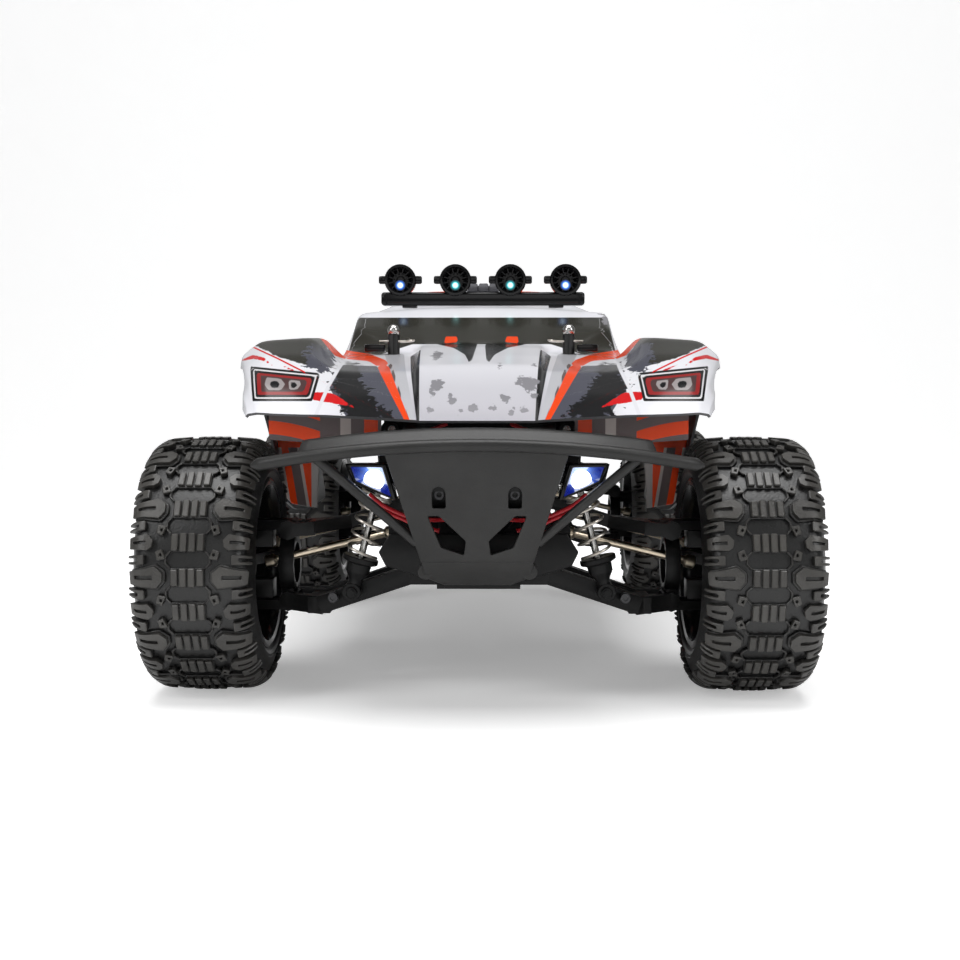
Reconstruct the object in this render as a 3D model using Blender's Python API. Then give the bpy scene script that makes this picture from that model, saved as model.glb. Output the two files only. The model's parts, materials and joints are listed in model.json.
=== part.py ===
"""Radio-controlled monster truck, modelled as an assembly of separate pieces.

Metres, +Z up, origin on the ground under the middle of the truck. The nose points to -Y,
and the truck's own left side is +X.
"""

import math

import bmesh
import bpy
from mathutils import Matrix, Vector

MM = 0.001

# Driving dimensions
WHEELBASE = 284 * MM
OVERALL_WIDTH = 295 * MM
OVERALL_LENGTH = 464 * MM
TYRE_RADIUS = 57.5 * MM
TYRE_WIDTH = 54 * MM
DRAWN_TYRE_RADIUS = 57.5 * MM
RIDE = TYRE_RADIUS - DRAWN_TYRE_RADIUS
RIM_RADIUS = 37 * MM
RIM_WALL = 2.6 * MM
SEAT_GAP = 0.3 * MM
PIN_GAP = 0.4 * MM

# Suspension: every link of a corner is parallel to the lower arm, so the wheel stays upright
ARM_PIVOT_X = 26 * MM
ARM_PIVOT_Z = RIDE + 55.5 * MM
LINK_DROP = 14.5 * MM
PIVOT_SPACING = 32 * MM
HINGE_PIN_RADIUS = 1.5 * MM
LUG_RADIUS = 4.4 * MM
ARM_HALF_WIDTH = 20 * MM
FORK_INNER = 7.4 * MM
FORK_OUTER = 11.4 * MM
UPPER_LUG_HALF = 5 * MM

# Steering
KINGPIN_INSET = 22.5 * MM
HUB_INSET = 12 * MM
STEER_ARM = 26 * MM
HORN_X = -20 * MM
KNUCKLE_TOP_GAP = 0.5 * MM
TIE_END_Z = RIDE + 64 * MM
TIE_PAD_RADIUS = 3.2 * MM
TIE_END_HALF = 2.9 * MM

# Drive
SHAFT_RADIUS = 1.8 * MM
AXLE_RADIUS = 3 * MM
CENTRE_SHAFT_Z = RIDE + 66 * MM
CENTRE_SHAFT_RADIUS = 2.2 * MM
SPUR_TEETH = 26
PINION_TEETH = 10
GEAR_MODULE = 0.88 * MM
GEAR_BACKLASH = 0.35 * MM
MOTOR_RADIUS = 12 * MM
MOTOR_LENGTH = 50 * MM

# Shocks
SHOCK_FOOT_SHARE = 0.5
SHOCK_FOOT_Z = RIDE + 47 * MM
SHOCK_TOP_X = 40 * MM
SHOCK_TOP_Z = RIDE + 108 * MM
SHOCK_AHEAD = 21.5 * MM
SHOCK_EYE_RADIUS = 4.2 * MM
SHOCK_SCREW_RADIUS = 1.5 * MM
SPRING_RADIUS = 6.6 * MM
SPRING_WIRE = 1.3 * MM
SPRING_COILS = 4
ROD_RADIUS = 1.6 * MM

# Chassis
FLOOR_Z = RIDE + 50 * MM
FLOOR_THICKNESS = 3 * MM
CHASSIS_HALF_WIDTH = 40 * MM
CHASSIS_NECK = 18 * MM
CHASSIS_WALL = 2.4 * MM
CHASSIS_WALL_TOP = RIDE + 64 * MM
CASE_HALF_WIDTH = 18.5 * MM
CASE_FRONT = 8 * MM
CASE_BACK = 18 * MM
CASE_TOP = RIDE + 97 * MM
TOWER_THICKNESS = 4 * MM
TOWER_TOP = RIDE + 122 * MM

# Body
SHELL_WALL = 1.2 * MM
ARCH_RADIUS = TYRE_RADIUS + 12.5 * MM
ARCH_Z = RIDE + 76 * MM
ARCH_INSIDE = 78 * MM
POST_X = 43 * MM
POST_RADIUS = 3 * MM
FRONT_POST_Y = -92 * MM
REAR_POST_Y = 112 * MM
REAR_POST_X = 34 * MM

# Values worked out from the driving dimensions
AXLE_Y = WHEELBASE / 2
WHEEL_X = OVERALL_WIDTH / 2 - TYRE_WIDTH / 2
KINGPIN_X = WHEEL_X - KINGPIN_INSET
ARM_END_X = KINGPIN_X - HUB_INSET
LINK_RUN = ARM_END_X - ARM_PIVOT_X
SHOCK_FOOT_X = ARM_PIVOT_X + LINK_RUN * SHOCK_FOOT_SHARE
ARM_END_Z = ARM_PIVOT_Z - LINK_DROP
UPPER_PIVOT_Z = ARM_PIVOT_Z + PIVOT_SPACING
UPPER_END_Z = ARM_END_Z + PIVOT_SPACING
DECK_Z = FLOOR_Z + FLOOR_THICKNESS + SEAT_GAP
SHAFT_IN_X = KINGPIN_X - LINK_RUN
SHAFT_IN_Z = TYRE_RADIUS + LINK_DROP
SHOCK_Y = AXLE_Y + SHOCK_AHEAD
TOWER_BACK = AXLE_Y + CASE_FRONT + SEAT_GAP
LINK_Y = -AXLE_Y + STEER_ARM
TIE_IN_X = KINGPIN_X - LINK_RUN
TIE_IN_Z = TIE_END_Z + LINK_DROP
SPUR_RADIUS = SPUR_TEETH * GEAR_MODULE / 2
PINION_RADIUS = PINION_TEETH * GEAR_MODULE / 2
PINION_X = SPUR_RADIUS + PINION_RADIUS + GEAR_BACKLASH
END_Y = OVERALL_LENGTH / 2


# Shape tools: each returns a mesh in world coordinates

def mesh_of(points, faces):
    mesh = bpy.data.meshes.new("shape")
    mesh.from_pydata([tuple(p) for p in points], [], faces)
    shape = bmesh.new()
    shape.from_mesh(mesh)
    bmesh.ops.recalc_face_normals(shape, faces=shape.faces)
    shape.to_mesh(mesh)
    shape.free()
    return mesh


def block(low, high):
    (x0, y0, z0), (x1, y1, z1) = low, high
    points = [(x, y, z) for z in (z0, z1) for x, y in ((x0, y0), (x1, y0), (x1, y1), (x0, y1))]
    sides = [(i, (i + 1) % 4, 4 + (i + 1) % 4, 4 + i) for i in range(4)]
    return mesh_of(points, [(3, 2, 1, 0), (4, 5, 6, 7)] + sides)


def loft(rings, closed_ends=True):
    """Joins rings of equal point counts into one skin; a first ring given again at the end closes it."""
    count = len(rings[0])
    if rings[0] is rings[-1]:
        rings = rings[:-1]
        rows = range(len(rings))
    else:
        rows = range(len(rings) - 1)
    points = [p for ring in rings for p in ring]
    faces = []
    for row in rows:
        following = (row + 1) % len(rings)
        for i in range(count):
            j = (i + 1) % count
            faces.append((row * count + i, row * count + j, following * count + j, following * count + i))
    if closed_ends:
        faces.append(tuple(range(count)))
        faces.append(tuple((len(rings) - 1) * count + i for i in range(count)))
    return mesh_of(points, faces)


def frame_of(direction):
    along = Vector(direction).normalized()
    side = along.cross((0, 0, 1) if abs(along.z) < 0.9 else (0, 1, 0)).normalized()
    return along, side, along.cross(side)


def turned(start, direction, profile, sides=14):
    """Turns (distance along, radius) pairs about the line from start."""
    along, side, up = frame_of(direction)
    rings = []
    for distance, radius in profile:
        centre = Vector(start) + along * distance
        angles = [2 * math.pi * i / sides for i in range(sides)]
        rings.append([centre + (side * math.cos(a) + up * math.sin(a)) * radius for a in angles])
    return loft(rings)


def rod(start, end, radius, sides=8, end_radius=None):
    length = (Vector(end) - Vector(start)).length
    return turned(start, Vector(end) - Vector(start),
                  [(0, radius), (length, radius if end_radius is None else end_radius)], sides)


def bar(start, end, width, height, end_width=None, end_height=None):
    """A straight tapered bar of rectangular section; width lies across, along Y where it can."""
    along = (Vector(end) - Vector(start)).normalized()
    across = Vector((0, 1, 0)) if abs(along.y) < 0.7 else Vector((1, 0, 0))
    up = along.cross(across).normalized()
    rings = []
    for centre, w, h in ((start, width, height), (end, end_width or width, end_height or height)):
        corners = ((-1, -1), (1, -1), (1, 1), (-1, 1))
        rings.append([Vector(centre) + across * (w / 2 * a) + up * (h / 2 * b) for a, b in corners])
    return loft(rings)


def prism(outline, low, high, place):
    """Extrudes a flat outline from low to high; place turns (u, v, depth) into a point."""
    return loft([[place(u, v, depth) for u, v in outline] for depth in (low, high)])


def in_front_view(u, v, depth):
    return Vector((u, depth, v))


def in_plan(u, v, depth):
    return Vector((u, v, depth))


def combined(base, tools, operation):
    """Boolean of plain meshes, returned as a plain mesh."""
    holder = bpy.data.objects.new("base", base)
    bpy.context.scene.collection.objects.link(holder)
    helpers = []
    for tool in tools:
        helper = bpy.data.objects.new("tool", tool)
        bpy.context.scene.collection.objects.link(helper)
        helpers.append(helper)
        change = holder.modifiers.new("combine", "BOOLEAN")
        change.operation = operation
        change.object = helper
        change.solver = "EXACT"
    graph = bpy.context.evaluated_depsgraph_get()
    result = bpy.data.meshes.new_from_object(holder.evaluated_get(graph))
    for helper in helpers + [holder]:
        bpy.data.objects.remove(helper)
    return result


def fuse(*meshes):
    return combined(meshes[0], meshes[1:], "UNION")


def cut(base, *tools):
    return combined(base, tools, "DIFFERENCE")


def flipped(mesh, side, end):
    """A copy on the other side or end of the truck."""
    copy = mesh.copy()
    shape = bmesh.new()
    shape.from_mesh(copy)
    bmesh.ops.transform(shape, matrix=Matrix.Diagonal((side, end, 1, 1)), verts=shape.verts)
    if side * end < 0:
        bmesh.ops.reverse_faces(shape, faces=shape.faces)
    shape.to_mesh(copy)
    shape.free()
    return copy


FINISHES = {
    "black_plastic": ((0.025, 0.025, 0.027), 0.55, 0.0),
    "rubber": ((0.02, 0.02, 0.02), 0.85, 0.0),
    "steel": ((0.62, 0.6, 0.57), 0.25, 1.0),
    "brass_steel": ((0.6, 0.47, 0.3), 0.25, 1.0),
    "painted_shell": ((0.82, 0.82, 0.85), 0.2, 0.0),
    "red_plastic": ((0.45, 0.02, 0.03), 0.4, 0.0),
    "battery_wrap": ((0.05, 0.09, 0.3), 0.4, 0.0),
    "gear_plastic": ((0.08, 0.08, 0.085), 0.5, 0.0),
    "lamp_glass": ((0.55, 0.68, 0.95), 0.1, 0.0),
    "rim_plastic": ((0.03, 0.03, 0.032), 0.3, 0.0),
}


def finish(name):
    material = bpy.data.materials.get(name)
    if material is None:
        colour, roughness, metallic = FINISHES[name]
        material = bpy.data.materials.new(name)
        material.use_nodes = True
        shader = material.node_tree.nodes["Principled BSDF"]
        shader.inputs["Base Color"].default_value = (*colour, 1)
        shader.inputs["Roughness"].default_value = roughness
        shader.inputs["Metallic"].default_value = metallic
    return material


def piece(name, mesh, material, pivot=(0, 0, 0)):
    """One node, with its origin on its joint's axis."""
    mesh.name = name
    mesh.transform(Matrix.Translation(-Vector(pivot)))
    mesh.materials.clear()
    mesh.materials.append(finish(material))
    mesh.shade_smooth()
    mesh.set_sharp_from_angle(angle=math.radians(35))
    made = bpy.data.objects.new(name, mesh)
    made.location = pivot
    bpy.context.scene.collection.objects.link(made)
    return made


# Wheels

TREAD_LUGS = 12
TREAD_DEPTH = 2.4 * MM
LUG_HALF = math.radians(9.5)
LUG_FLANK = math.radians(1.5)
TYRE_WALL = 7 * MM
SHOULDER = 9 * MM


def tyre_ring(angle, depth):
    """Section of the tyre at an angle round the axle, its tread lower by a depth."""
    half = TYRE_WIDTH / 2
    bead = RIM_RADIUS + SEAT_GAP
    shoulder = TYRE_RADIUS - SHOULDER
    outside = [(-half + 2 * MM, bead), (-half + depth / 2, shoulder), (-half + SHOULDER, TYRE_RADIUS - depth)]
    inside = [(-half + TYRE_WALL, shoulder), (-half + TYRE_WALL + MM, bead)]
    far_side = [(-x, r) for x, r in reversed(outside)] + [(-x, r) for x, r in reversed(inside)]
    flats = 1 / math.cos(LUG_HALF)
    return [Vector((WHEEL_X + offset, -AXLE_Y + radius * flats * math.cos(angle),
                    TYRE_RADIUS + radius * flats * math.sin(angle)))
            for offset, radius in outside + far_side + inside]


def tyre():
    """A hollow ring with cross lugs, open towards the rim, the lowest lug flat on the ground."""
    rings = []
    for i in range(TREAD_LUGS):
        middle = 2 * math.pi * i / TREAD_LUGS - math.pi / 2
        rings.append(tyre_ring(middle - LUG_HALF - LUG_FLANK, TREAD_DEPTH))
        rings.append(tyre_ring(middle - LUG_HALF, 0))
        rings.append(tyre_ring(middle + LUG_HALF, 0))
        rings.append(tyre_ring(middle + LUG_HALF + LUG_FLANK, TREAD_DEPTH))
    return loft(rings + rings[:1], closed_ends=False)


SPOKES = 6
HUB_BOSS_RADIUS = 9 * MM
DISC_X = 8 * MM
KNUCKLE_FACE = KINGPIN_X + 12 * MM


def rim():
    """Barrel, six spokes, hub boss and the stub axle that runs in the knuckle."""
    half = TYRE_WIDTH / 2 - 4 * MM
    centre = (WHEEL_X - half, -AXLE_Y, TYRE_RADIUS)
    outer = turned(centre, (1, 0, 0), [(0, RIM_RADIUS), (2 * half, RIM_RADIUS)], 24)
    hollow = turned((centre[0] - MM, centre[1], centre[2]), (1, 0, 0),
                    [(0, RIM_RADIUS - RIM_WALL), (2 * half + 2 * MM, RIM_RADIUS - RIM_WALL)], 24)
    shell = cut(outer, hollow)
    boss_start = KNUCKLE_FACE + 0.5 * MM
    boss = turned((boss_start, -AXLE_Y, TYRE_RADIUS), (1, 0, 0),
                  [(0, HUB_BOSS_RADIUS), (WHEEL_X + DISC_X - boss_start + 6 * MM, HUB_BOSS_RADIUS)], 12)
    spokes = []
    reach = RIM_RADIUS - RIM_WALL / 2
    for i in range(SPOKES):
        angle = 2 * math.pi * (i + 0.13) / SPOKES
        tip = (WHEEL_X + DISC_X, -AXLE_Y + reach * math.cos(angle), TYRE_RADIUS + reach * math.sin(angle))
        start = 6.5 * MM
        root = (WHEEL_X + DISC_X, -AXLE_Y + start * math.cos(angle), TYRE_RADIUS + start * math.sin(angle))
        spokes.append(rod(root, tip, 3 * MM, 6, 5 * MM))
    stub = rod((KINGPIN_X + 5 * MM, -AXLE_Y, TYRE_RADIUS), (boss_start + 4 * MM, -AXLE_Y, TYRE_RADIUS),
               AXLE_RADIUS, 8)
    return fuse(shell, *spokes, boss, stub)


# Suspension corner, drawn at the front left

def along_y(x, z, half, radius, y=0, sides=8):
    centre = -AXLE_Y + y
    return rod((x, centre - half, z), (x, centre + half, z), radius, sides)


LEG_HEIGHT = 8 * MM
LEG_WIDTH = 9 * MM
ELBOW_SHARE = 0.76
ELBOW_SAG = 4.5 * MM


def lower_arm():
    """Two legs from the hinge lugs to the outer fork, with the pad that carries the shock's foot."""
    elbow_x = ARM_PIVOT_X + LINK_RUN * ELBOW_SHARE
    elbow_z = ARM_PIVOT_Z - LINK_DROP * ELBOW_SHARE - ELBOW_SAG
    front = -AXLE_Y - ARM_HALF_WIDTH + LEG_WIDTH / 2
    back = -AXLE_Y + ARM_HALF_WIDTH - LEG_WIDTH / 2
    parts = []
    for y in (front, back):
        fork_y = -AXLE_Y + math.copysign((FORK_INNER + FORK_OUTER) / 2, y + AXLE_Y)
        knee_y = -AXLE_Y + (y + AXLE_Y) * 0.78
        parts.append(along_y(ARM_PIVOT_X, ARM_PIVOT_Z, LEG_WIDTH / 2, LUG_RADIUS, y + AXLE_Y))
        parts.append(bar((ARM_PIVOT_X, y, ARM_PIVOT_Z), (elbow_x, knee_y, elbow_z), LEG_WIDTH, LEG_HEIGHT))
        parts.append(bar((elbow_x - 2 * MM, knee_y, elbow_z), (ARM_END_X, fork_y, ARM_END_Z),
                         LEG_WIDTH, LEG_HEIGHT, FORK_OUTER - FORK_INNER, LEG_HEIGHT * 0.9))
        parts.append(along_y(ARM_END_X, ARM_END_Z, (FORK_OUTER - FORK_INNER) / 2, LUG_RADIUS, fork_y + AXLE_Y))
    tie = bar((elbow_x, front, elbow_z), (elbow_x, back, elbow_z), 10 * MM, LEG_HEIGHT * 0.9)
    pin = along_y(ARM_END_X, ARM_END_Z, FORK_OUTER - MM, HINGE_PIN_RADIUS, 0, 6)
    screw = rod((SHOCK_FOOT_X, -SHOCK_Y - 5 * MM, SHOCK_FOOT_Z), (SHOCK_FOOT_X, front, SHOCK_FOOT_Z),
                SHOCK_SCREW_RADIUS, 8)
    lug = rod((SHOCK_FOOT_X, -SHOCK_Y + 3.4 * MM, SHOCK_FOOT_Z), (SHOCK_FOOT_X, front + 3 * MM, SHOCK_FOOT_Z),
              SHOCK_EYE_RADIUS, 8)
    arm = fuse(*parts, tie, pin, screw, lug)
    bore = along_y(ARM_PIVOT_X, ARM_PIVOT_Z, ARM_HALF_WIDTH + 2 * MM, HINGE_PIN_RADIUS + PIN_GAP)
    return cut(arm, bore)


def upper_arm():
    """One bowed link with a lug at the gearbox ears and a fork round the hub's upper lug."""
    elbow_x = ARM_PIVOT_X + LINK_RUN * 0.55
    elbow_z = UPPER_PIVOT_Z - LINK_DROP * 0.55 - 3 * MM
    parts = [along_y(ARM_PIVOT_X, UPPER_PIVOT_Z, UPPER_LUG_HALF, LUG_RADIUS),
             bar((ARM_PIVOT_X, -AXLE_Y, UPPER_PIVOT_Z), (elbow_x, -AXLE_Y, elbow_z), 9 * MM, 5.5 * MM),
             bar((elbow_x - MM, -AXLE_Y, elbow_z),
                 (ARM_END_X - 9 * MM, -AXLE_Y, UPPER_END_Z + MM), 9 * MM, 5.5 * MM,
                 2 * FORK_OUTER, 5.5 * MM)]
    for sign in (-1, 1):
        fork_y = sign * (FORK_INNER + FORK_OUTER) / 2
        parts.append(bar((ARM_END_X - 12 * MM, -AXLE_Y + fork_y, UPPER_END_Z + MM),
                         (ARM_END_X, -AXLE_Y + fork_y, UPPER_END_Z), FORK_OUTER - FORK_INNER, 6 * MM))
        parts.append(along_y(ARM_END_X, UPPER_END_Z, (FORK_OUTER - FORK_INNER) / 2, LUG_RADIUS, fork_y))
    pin = along_y(ARM_END_X, UPPER_END_Z, FORK_OUTER - MM, HINGE_PIN_RADIUS, 0, 6)
    bore = along_y(ARM_PIVOT_X, UPPER_PIVOT_Z, UPPER_LUG_HALF + 2 * MM, HINGE_PIN_RADIUS + PIN_GAP)
    return cut(fuse(*parts, pin), bore)


HUB_RING_RADIUS = 13 * MM
HUB_RING_BORE = 9.5 * MM
HUB_RING_X = (ARM_END_X - 2.5 * MM, ARM_END_X + 4 * MM)
HUB_HALF = FORK_INNER - 0.5 * MM
LIP_THICKNESS = 4.2 * MM
KINGPIN_RADIUS = 1.6 * MM


def hub_frame():
    """Ring round the drive shaft with a hinge lug above and below it, before its bores."""
    start, end = HUB_RING_X
    ring = turned((start, -AXLE_Y, TYRE_RADIUS), (1, 0, 0),
                  [(0, HUB_RING_RADIUS), (end - start, HUB_RING_RADIUS)], 12)
    inset = 0.6 * MM
    low = block((start + inset, -AXLE_Y - HUB_HALF + inset, ARM_END_Z),
                (end - inset, -AXLE_Y + HUB_HALF - inset, TYRE_RADIUS - 5 * MM))
    high = block((start + inset, -AXLE_Y - HUB_HALF + inset, TYRE_RADIUS + 5 * MM),
                 (end - inset, -AXLE_Y + HUB_HALF - inset, UPPER_END_Z))
    lugs = [along_y(ARM_END_X, z, HUB_HALF, LUG_RADIUS) for z in (ARM_END_Z, UPPER_END_Z)]
    return [ring, low, high] + lugs


def hub_bores():
    start, end = HUB_RING_X
    bore = turned((start - 9 * MM, -AXLE_Y, TYRE_RADIUS), (1, 0, 0),
                  [(0, HUB_RING_BORE), (end - start + 9.5 * MM, HUB_RING_BORE)], 12)
    pins = [along_y(ARM_END_X, z, FORK_OUTER, HINGE_PIN_RADIUS + PIN_GAP) for z in (ARM_END_Z, UPPER_END_Z)]
    return [bore] + pins


def hub_carrier():
    """Front carrier: the hub frame with two lips that hold the kingpins."""
    lips = []
    kingpins = []
    for z, inward in ((ARM_END_Z, 1), (UPPER_END_Z, -1)):
        low = z - LIP_THICKNESS if inward > 0 else z
        lips.append(block((HUB_RING_X[0] + 2 * MM, -AXLE_Y - HUB_HALF, low),
                          (KINGPIN_X + 5 * MM, -AXLE_Y + HUB_HALF, low + LIP_THICKNESS)))
        kingpins.append(rod((KINGPIN_X, -AXLE_Y, low + LIP_THICKNESS / 2),
                            (KINGPIN_X, -AXLE_Y, z + inward * 4 * MM), KINGPIN_RADIUS, 8))
    return cut(fuse(*hub_frame(), *lips, *kingpins), *hub_bores())


BARREL_RADIUS = 10.5 * MM
BARREL_X = (KINGPIN_X + 6 * MM, KNUCKLE_FACE)


def bearing_barrel(start):
    return turned((start, -AXLE_Y, TYRE_RADIUS), (1, 0, 0),
                  [(0, BARREL_RADIUS), (BARREL_X[1] - start, BARREL_RADIUS)], 12)


def axle_bore():
    return rod((BARREL_X[0] - 16 * MM, -AXLE_Y, TYRE_RADIUS), (BARREL_X[1] + MM, -AXLE_Y, TYRE_RADIUS),
               AXLE_RADIUS + PIN_GAP, 12)


def knuckle():
    """Bearing barrel between two kingpin bosses, with the steering arm behind it."""
    low_z = ARM_END_Z + KNUCKLE_TOP_GAP
    high_z = UPPER_END_Z - KNUCKLE_TOP_GAP
    bosses = [block((KINGPIN_X - 4 * MM, -AXLE_Y - 5 * MM, z0), (BARREL_X[1] - MM, -AXLE_Y + 5 * MM, z1))
              for z0, z1 in ((low_z, TYRE_RADIUS - 7.5 * MM), (TYRE_RADIUS + 7.5 * MM, high_z))]
    ball_top = TIE_END_Z - TIE_END_HALF - SEAT_GAP
    arm = bar((BARREL_X[0] + 3 * MM, -AXLE_Y + 6 * MM, ball_top - 3 * MM),
              (KINGPIN_X, LINK_Y, ball_top - 2.5 * MM), 6 * MM, 5 * MM)
    pad = rod((KINGPIN_X, LINK_Y, ball_top - 5 * MM), (KINGPIN_X, LINK_Y, ball_top), TIE_PAD_RADIUS, 8)
    pin_hole = rod((KINGPIN_X, -AXLE_Y, ARM_END_Z - 2 * MM), (KINGPIN_X, -AXLE_Y, ARM_END_Z + 5 * MM),
                   KINGPIN_RADIUS + PIN_GAP, 8)
    top_hole = rod((KINGPIN_X, -AXLE_Y, UPPER_END_Z - 5 * MM), (KINGPIN_X, -AXLE_Y, UPPER_END_Z + 2 * MM),
                   KINGPIN_RADIUS + PIN_GAP, 8)
    return cut(fuse(bearing_barrel(BARREL_X[0]), *bosses, arm, pad), axle_bore(), pin_hole, top_hole)


def rear_upright():
    """Hub frame with its bearing barrel on two webs, so that the shaft's joint has room."""
    webs = [block((HUB_RING_X[0] + 2 * MM, -AXLE_Y - HUB_HALF, z0), (BARREL_X[1] - MM, -AXLE_Y + HUB_HALF, z1))
            for z0, z1 in ((ARM_END_Z + MM, TYRE_RADIUS - 8 * MM), (TYRE_RADIUS + 8 * MM, UPPER_END_Z - MM))]
    return cut(fuse(*hub_frame(), bearing_barrel(BARREL_X[0]), *webs), *hub_bores(), axle_bore())


SHAFT_BALL = 4.2 * MM


def drive_shaft():
    """Shaft with a ball at each end, from the gearbox's drive cup to the axle."""
    inner = Vector((SHAFT_IN_X, -AXLE_Y, SHAFT_IN_Z))
    outer = Vector((KINGPIN_X, -AXLE_Y, TYRE_RADIUS))
    length = (outer - inner).length
    ball = SHAFT_BALL
    profile = [(-0.8 * ball, 0.6 * ball), (0, ball), (0.8 * ball, SHAFT_RADIUS),
               (length - 0.8 * ball, SHAFT_RADIUS), (length, ball), (length + 0.8 * ball, 0.6 * ball)]
    return turned(inner, outer - inner, profile, 12)


def shock_line():
    foot = Vector((SHOCK_FOOT_X, -SHOCK_Y, SHOCK_FOOT_Z))
    top = Vector((SHOCK_TOP_X, -SHOCK_Y, SHOCK_TOP_Z))
    return foot, top, (top - foot).normalized()


EYE_HALF = 3 * MM
CUP_HEIGHT = 16 * MM
CUP_RADIUS = 5.2 * MM
FLANGE_RADIUS = SPRING_RADIUS + 1.4 * MM
FLANGE_THICKNESS = 2 * MM
CAP_DROP = 10 * MM
ROD_TIP = 9 * MM


def shock_body():
    """Lower cup: eye, tapered barrel and the flange that carries the spring."""
    foot, _, up = shock_line()
    profile = [(2 * MM, EYE_HALF - 0.1 * MM), (5.5 * MM, EYE_HALF - 0.1 * MM), (9 * MM, CUP_RADIUS),
               (CUP_HEIGHT - FLANGE_THICKNESS, CUP_RADIUS),
               (CUP_HEIGHT - FLANGE_THICKNESS, FLANGE_RADIUS), (CUP_HEIGHT, FLANGE_RADIUS)]
    barrel = turned(foot, up, profile, 14)
    eye = rod(foot - Vector((0, EYE_HALF, 0)), foot + Vector((0, EYE_HALF, 0)), SHOCK_EYE_RADIUS, 12)
    hole = rod(foot - Vector((0, 9 * MM, 0)), foot + Vector((0, 9 * MM, 0)), SHOCK_SCREW_RADIUS + PIN_GAP, 8)
    well = rod(foot + up * 6 * MM, foot + up * 30 * MM, ROD_RADIUS + 1.1 * MM, 8)
    return cut(fuse(barrel, eye), hole, well)


def shock_rod():
    """Upper cap with its eye, and the rod that slides into the cup."""
    foot, top, up = shock_line()
    cap = turned(top, -up, [(MM, EYE_HALF - 0.1 * MM), (4.6 * MM, EYE_HALF - 0.1 * MM), (6 * MM, CUP_RADIUS),
                            (CAP_DROP - FLANGE_THICKNESS, FLANGE_RADIUS), (CAP_DROP, FLANGE_RADIUS)], 14)
    eye = rod(top - Vector((0, EYE_HALF, 0)), top + Vector((0, EYE_HALF, 0)), SHOCK_EYE_RADIUS, 12)
    stem = rod(top - up * 6 * MM, foot + up * (CUP_HEIGHT - 1.5 * MM), ROD_RADIUS, 8)
    hole = rod(top - Vector((0, 9 * MM, 0)), top + Vector((0, 9 * MM, 0)), SHOCK_SCREW_RADIUS + PIN_GAP, 8)
    return cut(fuse(cap, eye, stem), hole)


POINTS_PER_COIL = 8
WIRE_SIDES = 6


def spring():
    """One open helix between the two flanges; prints its least gap to itself."""
    foot, top, up = shock_line()
    low = CUP_HEIGHT + SEAT_GAP + SPRING_WIRE / 2
    high = (top - foot).length - CAP_DROP - SEAT_GAP - SPRING_WIRE / 2
    along, side, other = frame_of(up)
    steps = int(SPRING_COILS * POINTS_PER_COIL)
    centres = []
    for i in range(steps + 1):
        turn = 2 * math.pi * i / POINTS_PER_COIL
        rise = low + (high - low) * i / steps
        centres.append(foot + along * rise + (side * math.cos(turn) + other * math.sin(turn)) * SPRING_RADIUS)
    gaps = [(a - b).length - SPRING_WIRE for i, a in enumerate(centres)
            for b in centres[i + POINTS_PER_COIL // 2:]]
    print(f"spring: least gap to itself {min(gaps) / MM:.2f} mm")
    rings = []
    for i, centre in enumerate(centres):
        before, after = centres[max(i - 1, 0)], centres[min(i + 1, steps)]
        tangent = (after - before).normalized()
        turn = 2 * math.pi * i / POINTS_PER_COIL
        outward = side * math.cos(turn) + other * math.sin(turn)
        outward = (outward - tangent * outward.dot(tangent)).normalized()
        upward = tangent.cross(outward)
        angles = [2 * math.pi * k / WIRE_SIDES for k in range(WIRE_SIDES)]
        rings.append([centre + (outward * math.cos(a) + upward * math.sin(a)) * SPRING_WIRE / 2
                      for a in angles])
    return loft(rings)


def at_corner(point, side, end):
    return (side * point[0], end * point[1], point[2])


def add_corners():
    """Four corners from one drawing of the front left one."""
    foot, top, _ = shock_line()
    lower_pivot = (ARM_PIVOT_X, -AXLE_Y, ARM_PIVOT_Z)
    lower_end = (ARM_END_X, -AXLE_Y, ARM_END_Z)
    upper_pivot = (ARM_PIVOT_X, -AXLE_Y, UPPER_PIVOT_Z)
    wheel_centre = (WHEEL_X, -AXLE_Y, TYRE_RADIUS)
    shaft_joint = (SHAFT_IN_X, -AXLE_Y, SHAFT_IN_Z)
    shared = [("lower_arm", lower_arm(), "black_plastic", lower_pivot),
              ("upper_arm", upper_arm(), "black_plastic", upper_pivot),
              ("drive_shaft", drive_shaft(), "brass_steel", shaft_joint),
              ("shock_body", shock_body(), "black_plastic", tuple(foot)),
              ("shock_rod", shock_rod(), "steel", tuple(top)),
              ("spring", spring(), "steel", tuple(top)),
              ("rim", rim(), "rim_plastic", wheel_centre),
              ("tyre", tyre(), "rubber", wheel_centre)]
    front_only = [("hub_carrier", hub_carrier(), "black_plastic", lower_end),
                  ("knuckle", knuckle(), "black_plastic", (KINGPIN_X, -AXLE_Y, TYRE_RADIUS))]
    rear_only = [("upright", rear_upright(), "black_plastic", lower_end)]
    for end_name, end, extra in (("front", 1, front_only), ("rear", -1, rear_only)):
        for side_name, side in (("left", 1), ("right", -1)):
            for name, mesh, material, pivot in shared + extra:
                piece(f"{end_name}_{side_name}_{name}", flipped(mesh, side, end), material,
                      at_corner(pivot, side, end))


# Chassis and drive

PIN_BLOCK = 4 * MM
NECK_END = 34 * MM


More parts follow.
